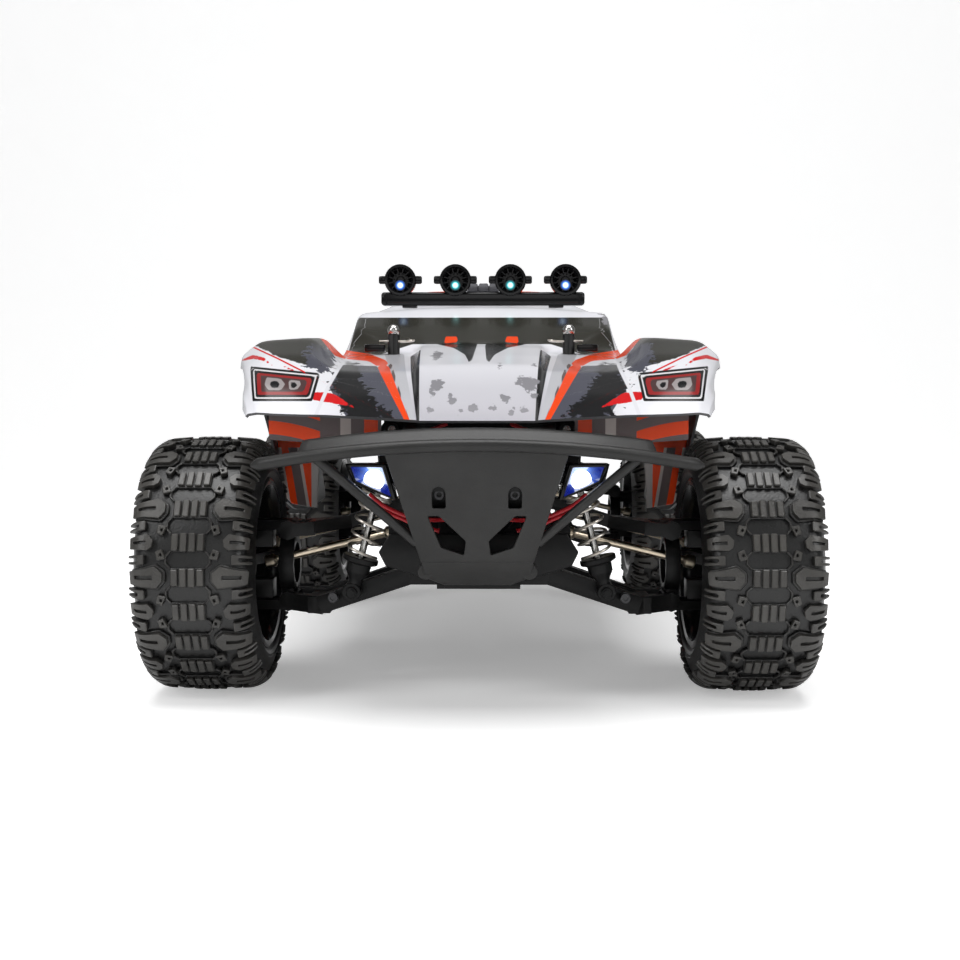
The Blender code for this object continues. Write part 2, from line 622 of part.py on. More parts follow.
def chassis_tub():
    """Floor with side walls, narrow at both axles, with the blocks and pins that hinge the lower arms."""
    neck_in = AXLE_Y - NECK_END
    neck_out = AXLE_Y + NECK_END
    outline = [(CHASSIS_NECK, -neck_out), (CHASSIS_NECK, -neck_in), (CHASSIS_HALF_WIDTH, -neck_in + 12 * MM)]
    half = outline + [(x, -y) for x, y in reversed(outline)]
    whole = half + [(-x, y) for x, y in reversed(half)]
    floor = prism(whole, FLOOR_Z, FLOOR_Z + FLOOR_THICKNESS, in_plan)
    parts = [floor]
    wall_y = neck_in - 12 * MM
    for side in (-1, 1):
        xs = sorted((side * (CHASSIS_HALF_WIDTH - CHASSIS_WALL), side * CHASSIS_HALF_WIDTH))
        parts.append(block((xs[0], -wall_y, FLOOR_Z + MM), (xs[1], wall_y, CHASSIS_WALL_TOP)))
        for end in (-1, 1):
            centre = end * AXLE_Y
            for offset in (-1, 1):
                y = centre + offset * (ARM_HALF_WIDTH + SEAT_GAP + PIN_BLOCK / 2)
                xs = sorted((side * (CHASSIS_NECK - 2 * MM), side * (ARM_PIVOT_X + LUG_RADIUS)))
                parts.append(block((xs[0], y - PIN_BLOCK / 2, FLOOR_Z + 0.5 * MM),
                                   (xs[1], y + PIN_BLOCK / 2, ARM_PIVOT_Z + LUG_RADIUS)))
            reach = ARM_HALF_WIDTH + PIN_BLOCK
            parts.append(rod((side * ARM_PIVOT_X, centre - reach, ARM_PIVOT_Z),
                             (side * ARM_PIVOT_X, centre + reach, ARM_PIVOT_Z), HINGE_PIN_RADIUS, 8))
    return fuse(*parts)


CUP_OUTER = 6.6 * MM
CUP_BORE = 5.2 * MM
EAR_THICKNESS = 3 * MM


def gearbox_case(end):
    """Drive housing with a cup for each drive shaft and the ears and pins of the upper arms."""
    y0 = -AXLE_Y - CASE_FRONT
    y1 = -AXLE_Y + CASE_BACK
    outline = [(y0, DECK_Z), (y1, DECK_Z), (y1, CASE_TOP - 22 * MM), (y0 + 16 * MM, CASE_TOP), (y0, CASE_TOP)]
    parts = [prism(outline, -CASE_HALF_WIDTH, CASE_HALF_WIDTH, lambda u, v, d: Vector((d, u, v)))]
    bores = []
    for side in (-1, 1):
        start = (side * (CASE_HALF_WIDTH - MM), -AXLE_Y, SHAFT_IN_Z)
        finish_x = SHAFT_IN_X + 3 * MM
        parts.append(rod(start, (side * finish_x, -AXLE_Y, SHAFT_IN_Z), CUP_OUTER, 12))
        bores.append(rod((side * (SHAFT_IN_X - 6 * MM), -AXLE_Y, SHAFT_IN_Z),
                         (side * (finish_x + MM), -AXLE_Y, SHAFT_IN_Z), CUP_BORE, 12))
        xs = sorted((side * (CASE_HALF_WIDTH - 2 * MM), side * (ARM_PIVOT_X + 4 * MM)))
        for offset in (-1, 1):
            y = -AXLE_Y + offset * (UPPER_LUG_HALF + SEAT_GAP + EAR_THICKNESS / 2)
            parts.append(block((xs[0], y - EAR_THICKNESS / 2, UPPER_PIVOT_Z - 4 * MM),
                               (xs[1], y + EAR_THICKNESS / 2, UPPER_PIVOT_Z + 4 * MM)))
        reach = UPPER_LUG_HALF + EAR_THICKNESS
        parts.append(rod((side * ARM_PIVOT_X, -AXLE_Y - reach, UPPER_PIVOT_Z),
                         (side * ARM_PIVOT_X, -AXLE_Y + reach, UPPER_PIVOT_Z), HINGE_PIN_RADIUS, 8))
    bores.append(rod((0, y1 - 8 * MM, CENTRE_SHAFT_Z), (0, y1 + MM, CENTRE_SHAFT_Z),
                     CENTRE_SHAFT_RADIUS + PIN_GAP, 8))
    return flipped(cut(fuse(*parts), *bores), 1, end)


def tower_plate():
    """Front view of the tower: a foot on the gearbox and two ears that carry the shocks."""
    half = [(10 * MM, CASE_TOP - 26 * MM), (17 * MM, CASE_TOP - 18 * MM), (24 * MM, SHOCK_TOP_Z - 9 * MM),
            (SHOCK_TOP_X + 5 * MM, SHOCK_TOP_Z - 6 * MM), (SHOCK_TOP_X + 6 * MM, TOWER_TOP - 5 * MM),
            (SHOCK_TOP_X + 2 * MM, TOWER_TOP), (30 * MM, TOWER_TOP), (20 * MM, TOWER_TOP - 6 * MM)]
    outline = half + [(-x, z) for x, z in reversed(half)]
    plate = prism(outline, -TOWER_BACK - TOWER_THICKNESS, -TOWER_BACK, in_front_view)
    screws = [rod((side * SHOCK_TOP_X, -SHOCK_Y - 4.5 * MM, SHOCK_TOP_Z),
                  (side * SHOCK_TOP_X, -TOWER_BACK - MM, SHOCK_TOP_Z), SHOCK_SCREW_RADIUS, 8) for side in (-1, 1)]
    spacers = [rod((side * SHOCK_TOP_X, -SHOCK_Y + EYE_HALF + SEAT_GAP, SHOCK_TOP_Z),
                   (side * SHOCK_TOP_X, -TOWER_BACK - MM, SHOCK_TOP_Z), 3 * MM, 8) for side in (-1, 1)]
    return fuse(plate, *screws, *spacers)


POST_ARM = 7 * MM
POST_STEP = 13.5 * MM
POST_ARM_Z = RIDE + 112 * MM


def posts(x, y, foot_y, top_z):
    """Two body posts on arms that run back from a cross plate at foot_y."""
    parts = []
    for side in (-1, 1):
        low = (side * x, y, POST_ARM_Z - POST_ARM / 2)
        parts.append(bar((side * (x - 4 * MM), foot_y, POST_ARM_Z), (side * x, y, POST_ARM_Z), POST_ARM, POST_ARM))
        parts.append(rod(low, (side * x, y, top_z), POST_RADIUS, 8))
        parts.append(rod(low, (side * x, y, top_z - POST_STEP), POST_RADIUS + 2 * MM, 8))
    return parts


FRONT_POST_TOP = RIDE + 164 * MM
REAR_POST_TOP = RIDE + 153 * MM


def front_body_mount():
    foot = -TOWER_BACK + SEAT_GAP
    plate = block((-POST_X, foot, POST_ARM_Z - 5 * MM), (POST_X, foot + 4 * MM, POST_ARM_Z + 5 * MM))
    return fuse(plate, *posts(POST_X, FRONT_POST_Y, foot + 2 * MM, FRONT_POST_TOP))


def rear_shock_tower():
    """The tower plate at the rear, with the rear body posts moulded on it."""
    rear_posts = posts(REAR_POST_X, REAR_POST_Y, TOWER_BACK + 2 * MM, REAR_POST_TOP)
    return fuse(flipped(tower_plate(), 1, -1), *rear_posts)


def gear(centre_y, length, teeth, x, z, phase):
    """Spur gear along Y with trapezoid teeth."""
    root = teeth * GEAR_MODULE / 2 - 1.1 * GEAR_MODULE
    tip = teeth * GEAR_MODULE / 2 + 0.8 * GEAR_MODULE
    outline = []
    for i in range(teeth):
        for share, radius in ((-0.34, root), (-0.14, tip), (0.14, tip), (0.34, root)):
            angle = 2 * math.pi * (i + share + phase) / teeth
            outline.append((x + radius * math.cos(angle), z + radius * math.sin(angle)))
    return prism(outline, centre_y - length / 2, centre_y + length / 2, in_front_view)


SPUR_Y = 40 * MM
GEAR_LENGTH = 6 * MM


def centre_drive_shaft():
    reach = AXLE_Y - CASE_BACK + 6 * MM
    shaft = rod((0, -reach, CENTRE_SHAFT_Z), (0, reach, CENTRE_SHAFT_Z), CENTRE_SHAFT_RADIUS, 8)
    return fuse(gear(SPUR_Y, GEAR_LENGTH, SPUR_TEETH, 0, CENTRE_SHAFT_Z, 0), shaft)


MOTOR_GAP = 2 * MM


def motor_pinion():
    """Pinion on the motor's shaft, with a gap of its tooth space at the mesh."""
    wheel = gear(SPUR_Y, GEAR_LENGTH, PINION_TEETH, PINION_X, CENTRE_SHAFT_Z, 0.5 - PINION_TEETH / 2)
    shaft = rod((PINION_X, SPUR_Y, CENTRE_SHAFT_Z),
                (PINION_X, SPUR_Y + GEAR_LENGTH / 2 + MOTOR_GAP + 6 * MM, CENTRE_SHAFT_Z), 1.5 * MM, 8)
    return fuse(wheel, shaft)


def motor():
    start = SPUR_Y + GEAR_LENGTH / 2 + MOTOR_GAP
    can = turned((PINION_X, start, CENTRE_SHAFT_Z), (0, 1, 0),
                 [(0, MOTOR_RADIUS - 1.5 * MM), (1.5 * MM, MOTOR_RADIUS),
                  (MOTOR_LENGTH - 10 * MM, MOTOR_RADIUS), (MOTOR_LENGTH - 10 * MM, MOTOR_RADIUS - 0.8 * MM),
                  (MOTOR_LENGTH, MOTOR_RADIUS - 0.8 * MM)], 20)
    foot = block((PINION_X - 7 * MM, start + 4 * MM, DECK_Z),
                 (PINION_X + 7 * MM, start + MOTOR_LENGTH - 12 * MM, CENTRE_SHAFT_Z - MOTOR_RADIUS / 2))
    hole = rod((PINION_X, start - MM, CENTRE_SHAFT_Z), (PINION_X, start + 8 * MM, CENTRE_SHAFT_Z),
               1.5 * MM + PIN_GAP, 8)
    return cut(fuse(can, foot), hole)


def tray_box(x0, x1, y0, y1, top, edge):
    """A moulded box standing on the deck, its upper edges chamfered."""
    low = [(x0, y0), (x1, y0), (x1, y1), (x0, y1)]
    high = [(x0 + edge, y0 + edge), (x1 - edge, y0 + edge), (x1 - edge, y1 - edge), (x0 + edge, y1 - edge)]
    levels = ((low, DECK_Z), (low, top - edge), (high, top))
    return loft([[Vector((x, y, z)) for x, y in outline] for outline, z in levels])


BATTERY_LENGTH = 126 * MM
BATTERY_HEIGHT = 24 * MM
ELECTRONICS_LENGTH = 100 * MM
ELECTRONICS_HEIGHT = 20 * MM
BAY_GAP = 2 * MM
BOX_EDGE = 2 * MM


# Steering

LINK_THICKNESS = 3 * MM
HORN_THICKNESS = 3 * MM
LINK_Z = TIE_IN_Z - TIE_END_HALF - SEAT_GAP - LINK_THICKNESS
HORN_Z = LINK_Z - SEAT_GAP - HORN_THICKNESS
SERVO_TOP = HORN_Z - SEAT_GAP
SERVO_END = LINK_Y + STEER_ARM + 34 * MM
BATTERY_GAP = 5.6 * MM


def steering_servo():
    body = tray_box(HORN_X - 10 * MM, HORN_X + 10 * MM,
                    LINK_Y + STEER_ARM - 8 * MM, LINK_Y + STEER_ARM + 30 * MM, SERVO_TOP, MM)
    tabs = block((HORN_X - 9 * MM, LINK_Y + STEER_ARM - 12 * MM, SERVO_TOP - 7 * MM),
                 (HORN_X + 9 * MM, SERVO_END, SERVO_TOP - 4.5 * MM))
    return fuse(body, tabs)


def servo_horn():
    pivot_y = LINK_Y + STEER_ARM
    hub = rod((HORN_X, pivot_y, HORN_Z), (HORN_X, pivot_y, HORN_Z + HORN_THICKNESS + 2 * MM), 5 * MM, 12)
    tip = rod((HORN_X, LINK_Y, HORN_Z), (HORN_X, LINK_Y, HORN_Z + HORN_THICKNESS), 3.4 * MM, 8)
    arm = block((HORN_X - 2.6 * MM, LINK_Y, HORN_Z), (HORN_X + 2.6 * MM, pivot_y, HORN_Z + HORN_THICKNESS))
    return fuse(hub, tip, arm)


def steering_link():
    ends = [rod((x, LINK_Y, LINK_Z), (x, LINK_Y, LINK_Z + LINK_THICKNESS), 3.4 * MM, 8)
            for x in (-TIE_IN_X, HORN_X, TIE_IN_X)]
    strip = block((-TIE_IN_X, LINK_Y - 2.5 * MM, LINK_Z + 0.3 * MM),
                  (TIE_IN_X, LINK_Y + 2.5 * MM, LINK_Z + LINK_THICKNESS - 0.3 * MM))
    return fuse(strip, *ends)


def tie_rod():
    inner = Vector((TIE_IN_X, LINK_Y, TIE_IN_Z))
    outer = Vector((KINGPIN_X, LINK_Y, TIE_END_Z))
    ball = [(rise * TIE_END_HALF, reach * TIE_END_HALF)
            for rise, reach in ((-1, 0.35), (-0.7, 0.72), (0, 1), (0.7, 0.72), (1, 0.35))]
    ends = [turned(centre, (0, 0, 1), ball, 8) for centre in (inner, outer)]
    return fuse(rod(inner, outer, 1.4 * MM, 8), *ends)


# Bumpers and lamps

BAR_RADIUS = 2.6 * MM
BAR_HALF = 90 * MM
BAR_Z = RIDE + 113.3 * MM
BAR_DROOP = 6.5 * MM
BAR_SWEEP = 14 * MM
SKID_TOP_HALF = 36.8 * MM
SKID_LOW_HALF = 21.8 * MM
SKID_LOW_Z = RIDE + 55 * MM
SKID_LEAN = 26 * MM
SKID_THICKNESS = 4 * MM
SKID_SLOT = [(12.4, 33), (17.8, 33), (17.8, 39.5), (15.1, 42), (12.4, 39.5)]
SKID_WINDOW = [(4.6, 19.3), (5.4, 13.3), (14.6, 16.5), (19.8, 29.7), (15.3, 29.9)]


def bar_point(x):
    share = (x / BAR_HALF) ** 2
    return Vector((x, -END_Y + BAR_RADIUS + BAR_SWEEP * share, BAR_Z - BAR_DROOP * share))


def skid_y(z):
    return -END_Y + BAR_RADIUS + SKID_LEAN * (BAR_Z - z) / (BAR_Z - SKID_LOW_Z)


def leaning(u, v, depth):
    return Vector((u, skid_y(v) + depth, v))


def front_bumper():
    """Bar, lip, skid plate and side struts in one moulding, on a foot against the chassis nose."""
    stations = [BAR_HALF * (i / 6 - 1) for i in range(13)]
    circle = [2 * math.pi * i / 8 for i in range(8)]
    rings = [[bar_point(x) + Vector((0, math.cos(a), math.sin(a))) * BAR_RADIUS for a in circle]
             for x in stations]
    tube = loft(rings)
    lip_rings = []
    for x in [0.9 * BAR_HALF * (i / 4 - 1) for i in range(9)]:
        base = bar_point(x)
        top = bar_point(x * 0.87) + Vector((0, 22 * MM, 7 * MM + BAR_DROOP * (x / BAR_HALF) ** 2))
        step = Vector((0, 0, 1.2 * MM))
        lip_rings.append([base - step, top - step, top + step, base + step])
    lip = loft(lip_rings)
    half = [(SKID_TOP_HALF, BAR_Z), (SKID_LOW_HALF + MM, SKID_LOW_Z + 10 * MM),
            (SKID_LOW_HALF, SKID_LOW_Z + 3.5 * MM), (SKID_LOW_HALF - 8 * MM, SKID_LOW_Z)]
    plate = prism(half + [(-x, z) for x, z in reversed(half)], -SKID_THICKNESS / 2, SKID_THICKNESS / 2, leaning)
    struts = []
    holes = []
    for side in (-1, 1):
        foot_z = SKID_LOW_Z + 20 * MM
        foot = Vector((side * (SKID_LOW_HALF + 3 * MM), skid_y(foot_z), foot_z))
        struts.append(rod(bar_point(side * 0.72 * BAR_HALF), foot, 1.9 * MM, 8))
        for outline in (SKID_SLOT, SKID_WINDOW):
            holes.append(prism([(side * u * MM, SKID_LOW_Z + v * MM) for u, v in outline], -9 * MM, 9 * MM, leaning))
    nose = -AXLE_Y - NECK_END - SEAT_GAP
    foot = block((-16 * MM, skid_y(SKID_LOW_Z + 6 * MM), SKID_LOW_Z - 3 * MM),
                 (16 * MM, nose, SKID_LOW_Z + 6 * MM))
    return cut(fuse(tube, lip, plate, foot, *struts), *holes)


def rear_bumper():
    """Bent bar on two stays from the chassis tail."""
    tail = AXLE_Y + NECK_END + SEAT_GAP
    back = END_Y - BAR_RADIUS
    reach = 62 * MM
    height = FLOOR_Z + 26 * MM
    corners = [(-reach, back - 12 * MM), (-reach + 16 * MM, back),
               (reach - 16 * MM, back), (reach, back - 12 * MM)]
    tubes = [rod((*a, height), (*b, height), BAR_RADIUS, 8) for a, b in zip(corners, corners[1:])]
    knees = [turned((x, y, height - BAR_RADIUS), (0, 0, 1), [(0, BAR_RADIUS), (2 * BAR_RADIUS, BAR_RADIUS)], 8)
             for x, y in corners[1:3]]
    stays = [bar((side * 12 * MM, tail + 3 * MM, FLOOR_Z + 5 * MM),
                 (side * 16 * MM, back, height), 6 * MM, 5 * MM)
             for side in (-1, 1)]
    foot = block((-16 * MM, tail, FLOOR_Z), (16 * MM, tail + 6 * MM, FLOOR_Z + 10 * MM))
    return fuse(foot, *stays, *tubes, *knees)


LAMP_FRONT = -END_Y + 24 * MM
LAMP_Z = BAR_Z - 8 * MM
LAMP_ARM_LOW = LAMP_Z - 9 * MM
LAMP_ARM_HIGH = LAMP_Z - 4 * MM
LAMP_DEPTH = 12 * MM
LAMP_OUTLINE = [(36.6 * MM, LAMP_Z), (53.4 * MM, LAMP_Z),
                (51.5 * MM, LAMP_Z - 7.5 * MM), (33 * MM, LAMP_Z - 15 * MM)]


def headlamp():
    """Four-sided lamp housing on a bracket that reaches in behind the skid plate."""
    housing = prism(LAMP_OUTLINE, LAMP_FRONT, LAMP_FRONT + LAMP_DEPTH, in_front_view)
    bracket = block((14 * MM, LAMP_FRONT + LAMP_DEPTH - 4 * MM, LAMP_ARM_LOW),
                    (42 * MM, LAMP_FRONT + LAMP_DEPTH - MM, LAMP_ARM_HIGH))
    plate_back = skid_y(LAMP_ARM_LOW) + SKID_THICKNESS / 2 + SEAT_GAP
    stand = block((21 * MM, plate_back, LAMP_ARM_LOW),
                  (26 * MM, LAMP_FRONT + LAMP_DEPTH - 2 * MM, LAMP_ARM_HIGH))
    return fuse(housing, bracket, stand)


# Body shell

# Half sections from the nose to the tail: distance along, then (half width, height) from the
# middle line over the hood or roof, down the cab side, over the fender and down to the lower edge
SECTIONS = [
    (-213, [(0, 122.7), (23.5, 122.7), (25, 123), (41, 124), (60, 125), (71, 125.2), (82, 125.5), (89.5, 126.6),
            (93.5, 125.8), (94.5, 123.5)]),
    (-198, [(0, 134), (25, 134), (26.5, 132.5), (50, 132.5), (63, 133), (77, 137), (89, 138.5), (95, 136.5),
            (98, 132.5), (98.5, 127.5)]),
    (-170, [(0, 146.5), (27, 146), (28.5, 143.5), (54, 143.5), (62, 144), (74, 150.5), (94, 150.5), (102, 145),
            (103.5, 136), (102.5, 124)]),
    (-140, [(0, 152), (28, 151.5), (30, 148), (55, 148), (64, 148), (76, 160), (100, 158.5), (108.5, 152),
            (110, 142), (109.5, 124)]),
    (-105, [(0, 157.5), (29, 157), (31, 153), (54, 153), (65, 152), (75, 162), (98, 160), (106.5, 153.5),
            (109, 140), (108.5, 110)]),
    (-80, [(0, 160), (29, 159.5), (33, 156), (66, 155), (72, 153), (79, 158.5), (95, 156), (103.5, 149),
           (106.5, 120), (104, 85)]),
    (-55, [(0, 171), (30, 171), (66, 169), (72, 156), (76.5, 151.5), (85, 152.5), (95, 150), (102, 143),
           (105.5, 112), (99, 75)]),
    (-28, [(0, 182.5), (32, 182), (67, 179.5), (73, 156), (77.5, 151), (86, 150), (95, 147.5), (101.5, 140),
           (105, 110), (97, 73)]),
    (-8, [(0, 183.4), (32, 182.9), (66.5, 180), (72.5, 155.5), (77.5, 150.7), (86, 150), (95, 147.5),
          (101.5, 140), (105, 110), (97, 73)]),
    (14, [(0, 196), (34, 195), (66, 180.8), (72.5, 155), (77.5, 150.5), (86, 150), (95, 147.5), (101.5, 140),
          (105, 110), (97, 73)]),
    (55, [(0, 194), (32, 193), (62, 178), (70, 154), (76, 150), (86, 150.5), (95, 148), (101.5, 140),
          (105, 111), (98, 74)]),
    (76, [(0, 153), (30, 153), (54, 152.5), (65, 151.5), (74, 150), (85, 153), (96, 151), (102.5, 144),
          (106, 120), (102, 84)]),
    (105, [(0, 144), (30, 144), (50, 144.5), (60, 146.5), (70, 149), (83, 157.5), (97, 156), (105, 150),
           (108, 136), (108, 112)]),
    (145, [(0, 142), (30, 142), (50, 142.5), (60, 145.5), (70, 149), (84, 160), (99, 158), (106.5, 151),
           (108.5, 138), (108.5, 124)]),
    (185, [(0, 142), (30, 142), (50, 142.5), (60, 145), (70, 148.5), (83, 157), (98, 155), (105.5, 147),
           (107.5, 134), (107.5, 121)]),
    (205, [(0, 141), (30, 141), (50, 141.5), (60, 144), (70, 147), (82, 150), (95, 147.5), (102, 141),
           (104, 131), (104, 119)]),
    (209, [(0, 121), (30, 121), (50, 121), (60, 121), (70, 120.5), (82, 120), (95, 119.5), (100, 119),
           (102, 118.5), (103, 118)]),
]
NOSE_BOW = 12 * MM
SHELL_HALF_WIDTH = 110 * MM


def section_point(distance, width, height):
    """A point of the shell; the nose sweeps back towards its corners."""
    x, y, z = width * MM, distance * MM, RIDE + height * MM
    ahead = max(0.0, min(1.0, (-y - 140 * MM) / (73 * MM)))
    return Vector((x, y + NOSE_BOW * ahead * (x / SHELL_HALF_WIDTH) ** 2, z))


def shell_height(x, y):
    """Height of the shell's outside, on the hood or roof."""
    for (y0, near), (y1, far) in zip(SECTIONS, SECTIONS[1:]):
        if y0 * MM <= y <= y1 * MM:
            share = (y - y0 * MM) / ((y1 - y0) * MM)
            mixed = [(a[0] + (b[0] - a[0]) * share, a[1] + (b[1] - a[1]) * share) for a, b in zip(near, far)]
            for (w0, h0), (w1, h1) in zip(mixed, mixed[1:]):
                if w0 * MM <= abs(x) <= w1 * MM:
                    return RIDE + (h0 + (h1 - h0) * (abs(x) / MM - w0) / (w1 - w0)) * MM
    return 0


def shell_skin():
    rows = []
    for distance, half in SECTIONS:
        left = [section_point(distance, w, h) for w, h in half]
        right = [Vector((-p.x, p.y, p.z)) for p in reversed(left[1:])]
        rows.append(right + left)
    count = len(rows[0])
    points = [p for row in rows for p in row]
    faces = [(r * count + i, r * count + i + 1, (r + 1) * count + i + 1, (r + 1) * count + i)
             for r in range(len(rows) - 1) for i in range(count - 1)]
    return mesh_of(points, faces)


def body_shell():
    """Thin moulded shell with its wheel arches and the four post holes."""
    skin = shell_skin()
    if sum(face.normal.z * face.area for face in skin.polygons) < 0:
        skin.flip_normals()
    holder = bpy.data.objects.new("skin", skin)
    bpy.context.scene.collection.objects.link(holder)
    wall = holder.modifiers.new("wall", "SOLIDIFY")
    wall.thickness = SHELL_WALL
    wall.offset = -1
    graph = bpy.context.evaluated_depsgraph_get()
    shell = bpy.data.meshes.new_from_object(holder.evaluated_get(graph))
    bpy.data.objects.remove(holder)
    cutters = []
    for side in (-1, 1):
        for end in (-1, 1):
            cutters.append(rod((side * ARCH_INSIDE, end * AXLE_Y, ARCH_Z),
                               (side * 130 * MM, end * AXLE_Y, ARCH_Z), ARCH_RADIUS, 28))
        for x, y, top in ((POST_X, FRONT_POST_Y, FRONT_POST_TOP), (REAR_POST_X, REAR_POST_Y, REAR_POST_TOP)):
            cutters.append(rod((side * x, y, top - 40 * MM), (side * x, y, top + 12 * MM),
                               POST_RADIUS + 0.8 * MM, 8))
    return cut(shell, *cutters)


LIGHT_BAR_HALF = 55.5 * MM
LIGHT_BAR_Y = -18 * MM
FOOT_X = 40 * MM
LIGHT_BAR_LOW = RIDE + 184 * MM
LIGHT_BAR_HEIGHT = 7.2 * MM
LAMP_PODS = 4
POD_SPACING = 30 * MM
POD_RADIUS = 8.6 * MM
POD_Z = RIDE + 197.6 * MM
POD_DEPTH = 10 * MM


def roof_light_bar():
    """Bar on two feet with four round lamps, each with an ear at its left and right."""
    top = LIGHT_BAR_LOW + LIGHT_BAR_HEIGHT
    parts = [block((-LIGHT_BAR_HALF, LIGHT_BAR_Y - 4 * MM, LIGHT_BAR_LOW),
                   (LIGHT_BAR_HALF, LIGHT_BAR_Y + 4 * MM, top))]
    for side in (-1, 1):
        xs = sorted((side * (FOOT_X - 4 * MM), side * (FOOT_X + 4 * MM)))
        seat = shell_height(FOOT_X - 4 * MM, LIGHT_BAR_Y + 3 * MM) + SEAT_GAP
        parts.append(block((xs[0], LIGHT_BAR_Y - 3 * MM, seat),
                           (xs[1], LIGHT_BAR_Y + 3 * MM, LIGHT_BAR_LOW + MM)))
    for i in range(LAMP_PODS):
        x = (i - (LAMP_PODS - 1) / 2) * POD_SPACING
        front = LIGHT_BAR_Y - POD_DEPTH / 2
        parts.append(turned((x, front, POD_Z), (0, 1, 0), [(0, POD_RADIUS), (POD_DEPTH * 0.5, POD_RADIUS),
                                                           (POD_DEPTH, POD_RADIUS * 0.6)], 12))
        parts.append(block((x - POD_RADIUS - 3.2 * MM, front + MM, POD_Z - 2 * MM),
                           (x + POD_RADIUS + 3.2 * MM, front + 4 * MM, POD_Z + 2.4 * MM)))
        parts.append(rod((x, LIGHT_BAR_Y, top - MM), (x, LIGHT_BAR_Y, POD_Z - POD_RADIUS + 3 * MM), 3 * MM, 6))
    return fuse(*parts)


def main():
    for old in list(bpy.data.objects):
        bpy.data.objects.remove(old)
    piece("chassis_tub", chassis_tub(), "black_plastic")
    piece("front_gearbox_case", gearbox_case(1), "black_plastic")
    piece("rear_gearbox_case", gearbox_case(-1), "black_plastic")
    piece("front_shock_tower", tower_plate(), "black_plastic")
    piece("rear_shock_tower", rear_shock_tower(), "black_plastic")
    piece("front_body_mount", front_body_mount(), "black_plastic")
    piece("front_bumper", front_bumper(), "black_plastic")
    piece("rear_bumper", rear_bumper(), "black_plastic")
    lamp = headlamp()
    piece("left_headlamp", flipped(lamp, 1, 1), "lamp_glass")
    piece("right_headlamp", flipped(lamp, -1, 1), "lamp_glass")
    piece("motor", motor(), "steel")
    piece("motor_pinion", motor_pinion(), "brass_steel", (PINION_X, SPUR_Y, CENTRE_SHAFT_Z))
    piece("centre_drive_shaft", centre_drive_shaft(), "gear_plastic", (0, 0, CENTRE_SHAFT_Z))
    inner_wall = CHASSIS_HALF_WIDTH - CHASSIS_WALL - SEAT_GAP
    battery_front = SERVO_END + BATTERY_GAP
    battery = tray_box(-inner_wall, -SPUR_RADIUS - BAY_GAP, battery_front, battery_front + BATTERY_LENGTH,
                       DECK_Z + BATTERY_HEIGHT, BOX_EDGE)
    piece("battery_pack", battery, "battery_wrap")
    box_end = SPUR_Y - GEAR_LENGTH / 2 - 4 * BAY_GAP
    electronics = tray_box(CENTRE_SHAFT_RADIUS + 3 * BAY_GAP, inner_wall, box_end - ELECTRONICS_LENGTH, box_end,
                           DECK_Z + ELECTRONICS_HEIGHT, BOX_EDGE)
    piece("electronics_box", electronics, "red_plastic")
    horn_pivot = (HORN_X, LINK_Y + STEER_ARM, HORN_Z)
    piece("steering_servo", steering_servo(), "black_plastic")
    piece("servo_horn", servo_horn(), "black_plastic", horn_pivot)
    piece("steering_link", steering_link(), "black_plastic", (HORN_X, LINK_Y, LINK_Z))
    rods = tie_rod()
    for name, side in (("left", 1), ("right", -1)):
        piece(f"{name}_tie_rod", flipped(rods, side, 1), "steel", (side * TIE_IN_X, LINK_Y, TIE_IN_Z))
    add_corners()
    piece("body_shell", body_shell(), "painted_shell")
    piece("roof_light_bar", roof_light_bar(), "black_plastic")


main()
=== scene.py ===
import json
import math

import bmesh
import bpy
import numpy as np
from mathutils import Matrix, Vector


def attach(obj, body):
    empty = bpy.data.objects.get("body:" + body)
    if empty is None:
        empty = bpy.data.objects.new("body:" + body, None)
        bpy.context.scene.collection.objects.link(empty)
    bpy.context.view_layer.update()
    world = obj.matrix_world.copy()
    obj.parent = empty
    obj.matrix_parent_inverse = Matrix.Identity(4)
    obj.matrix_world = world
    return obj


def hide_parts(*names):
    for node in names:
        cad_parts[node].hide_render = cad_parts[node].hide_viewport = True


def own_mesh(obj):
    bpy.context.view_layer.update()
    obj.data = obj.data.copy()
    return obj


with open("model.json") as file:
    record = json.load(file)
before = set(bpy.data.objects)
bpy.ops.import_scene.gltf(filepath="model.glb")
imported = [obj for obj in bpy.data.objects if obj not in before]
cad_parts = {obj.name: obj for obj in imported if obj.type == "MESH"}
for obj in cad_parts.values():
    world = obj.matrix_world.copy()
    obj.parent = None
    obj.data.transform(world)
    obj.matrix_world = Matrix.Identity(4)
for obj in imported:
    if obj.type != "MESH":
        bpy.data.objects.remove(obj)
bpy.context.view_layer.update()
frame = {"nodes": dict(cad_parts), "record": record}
nodes = frame["nodes"]
mm = 0.001
print("stage 1: frame loaded,", len(nodes), "nodes")


# small node helpers

def addNode(tree, kind, place=(0, 0), **values):
    node = tree.nodes.new(kind)
    node.location = place
    for name, value in values.items():
        setattr(node, name, value)
    return node


def mathNode(tree, operation, first, second=None, third=None):
    node = addNode(tree, "ShaderNodeMath", operation=operation)
    for slot, value in zip(node.inputs, (first, second, third)):
        if value is None:
            continue
        if isinstance(value, (int, float)):
            slot.default_value = value
        else:
            tree.links.new(value, slot)
    return node.outputs[0]


def mixColour(tree, factor, first, second):
    node = addNode(tree, "ShaderNodeMix", data_type="RGBA")
    for slot, value in ((node.inputs[0], factor), (node.inputs[6], first), (node.inputs[7], second)):
        if isinstance(value, (int, float)):
            slot.default_value = value
        elif isinstance(value, tuple):
            slot.default_value = (*value, 1)
        else:
            tree.links.new(value, slot)
    return node.outputs[2]


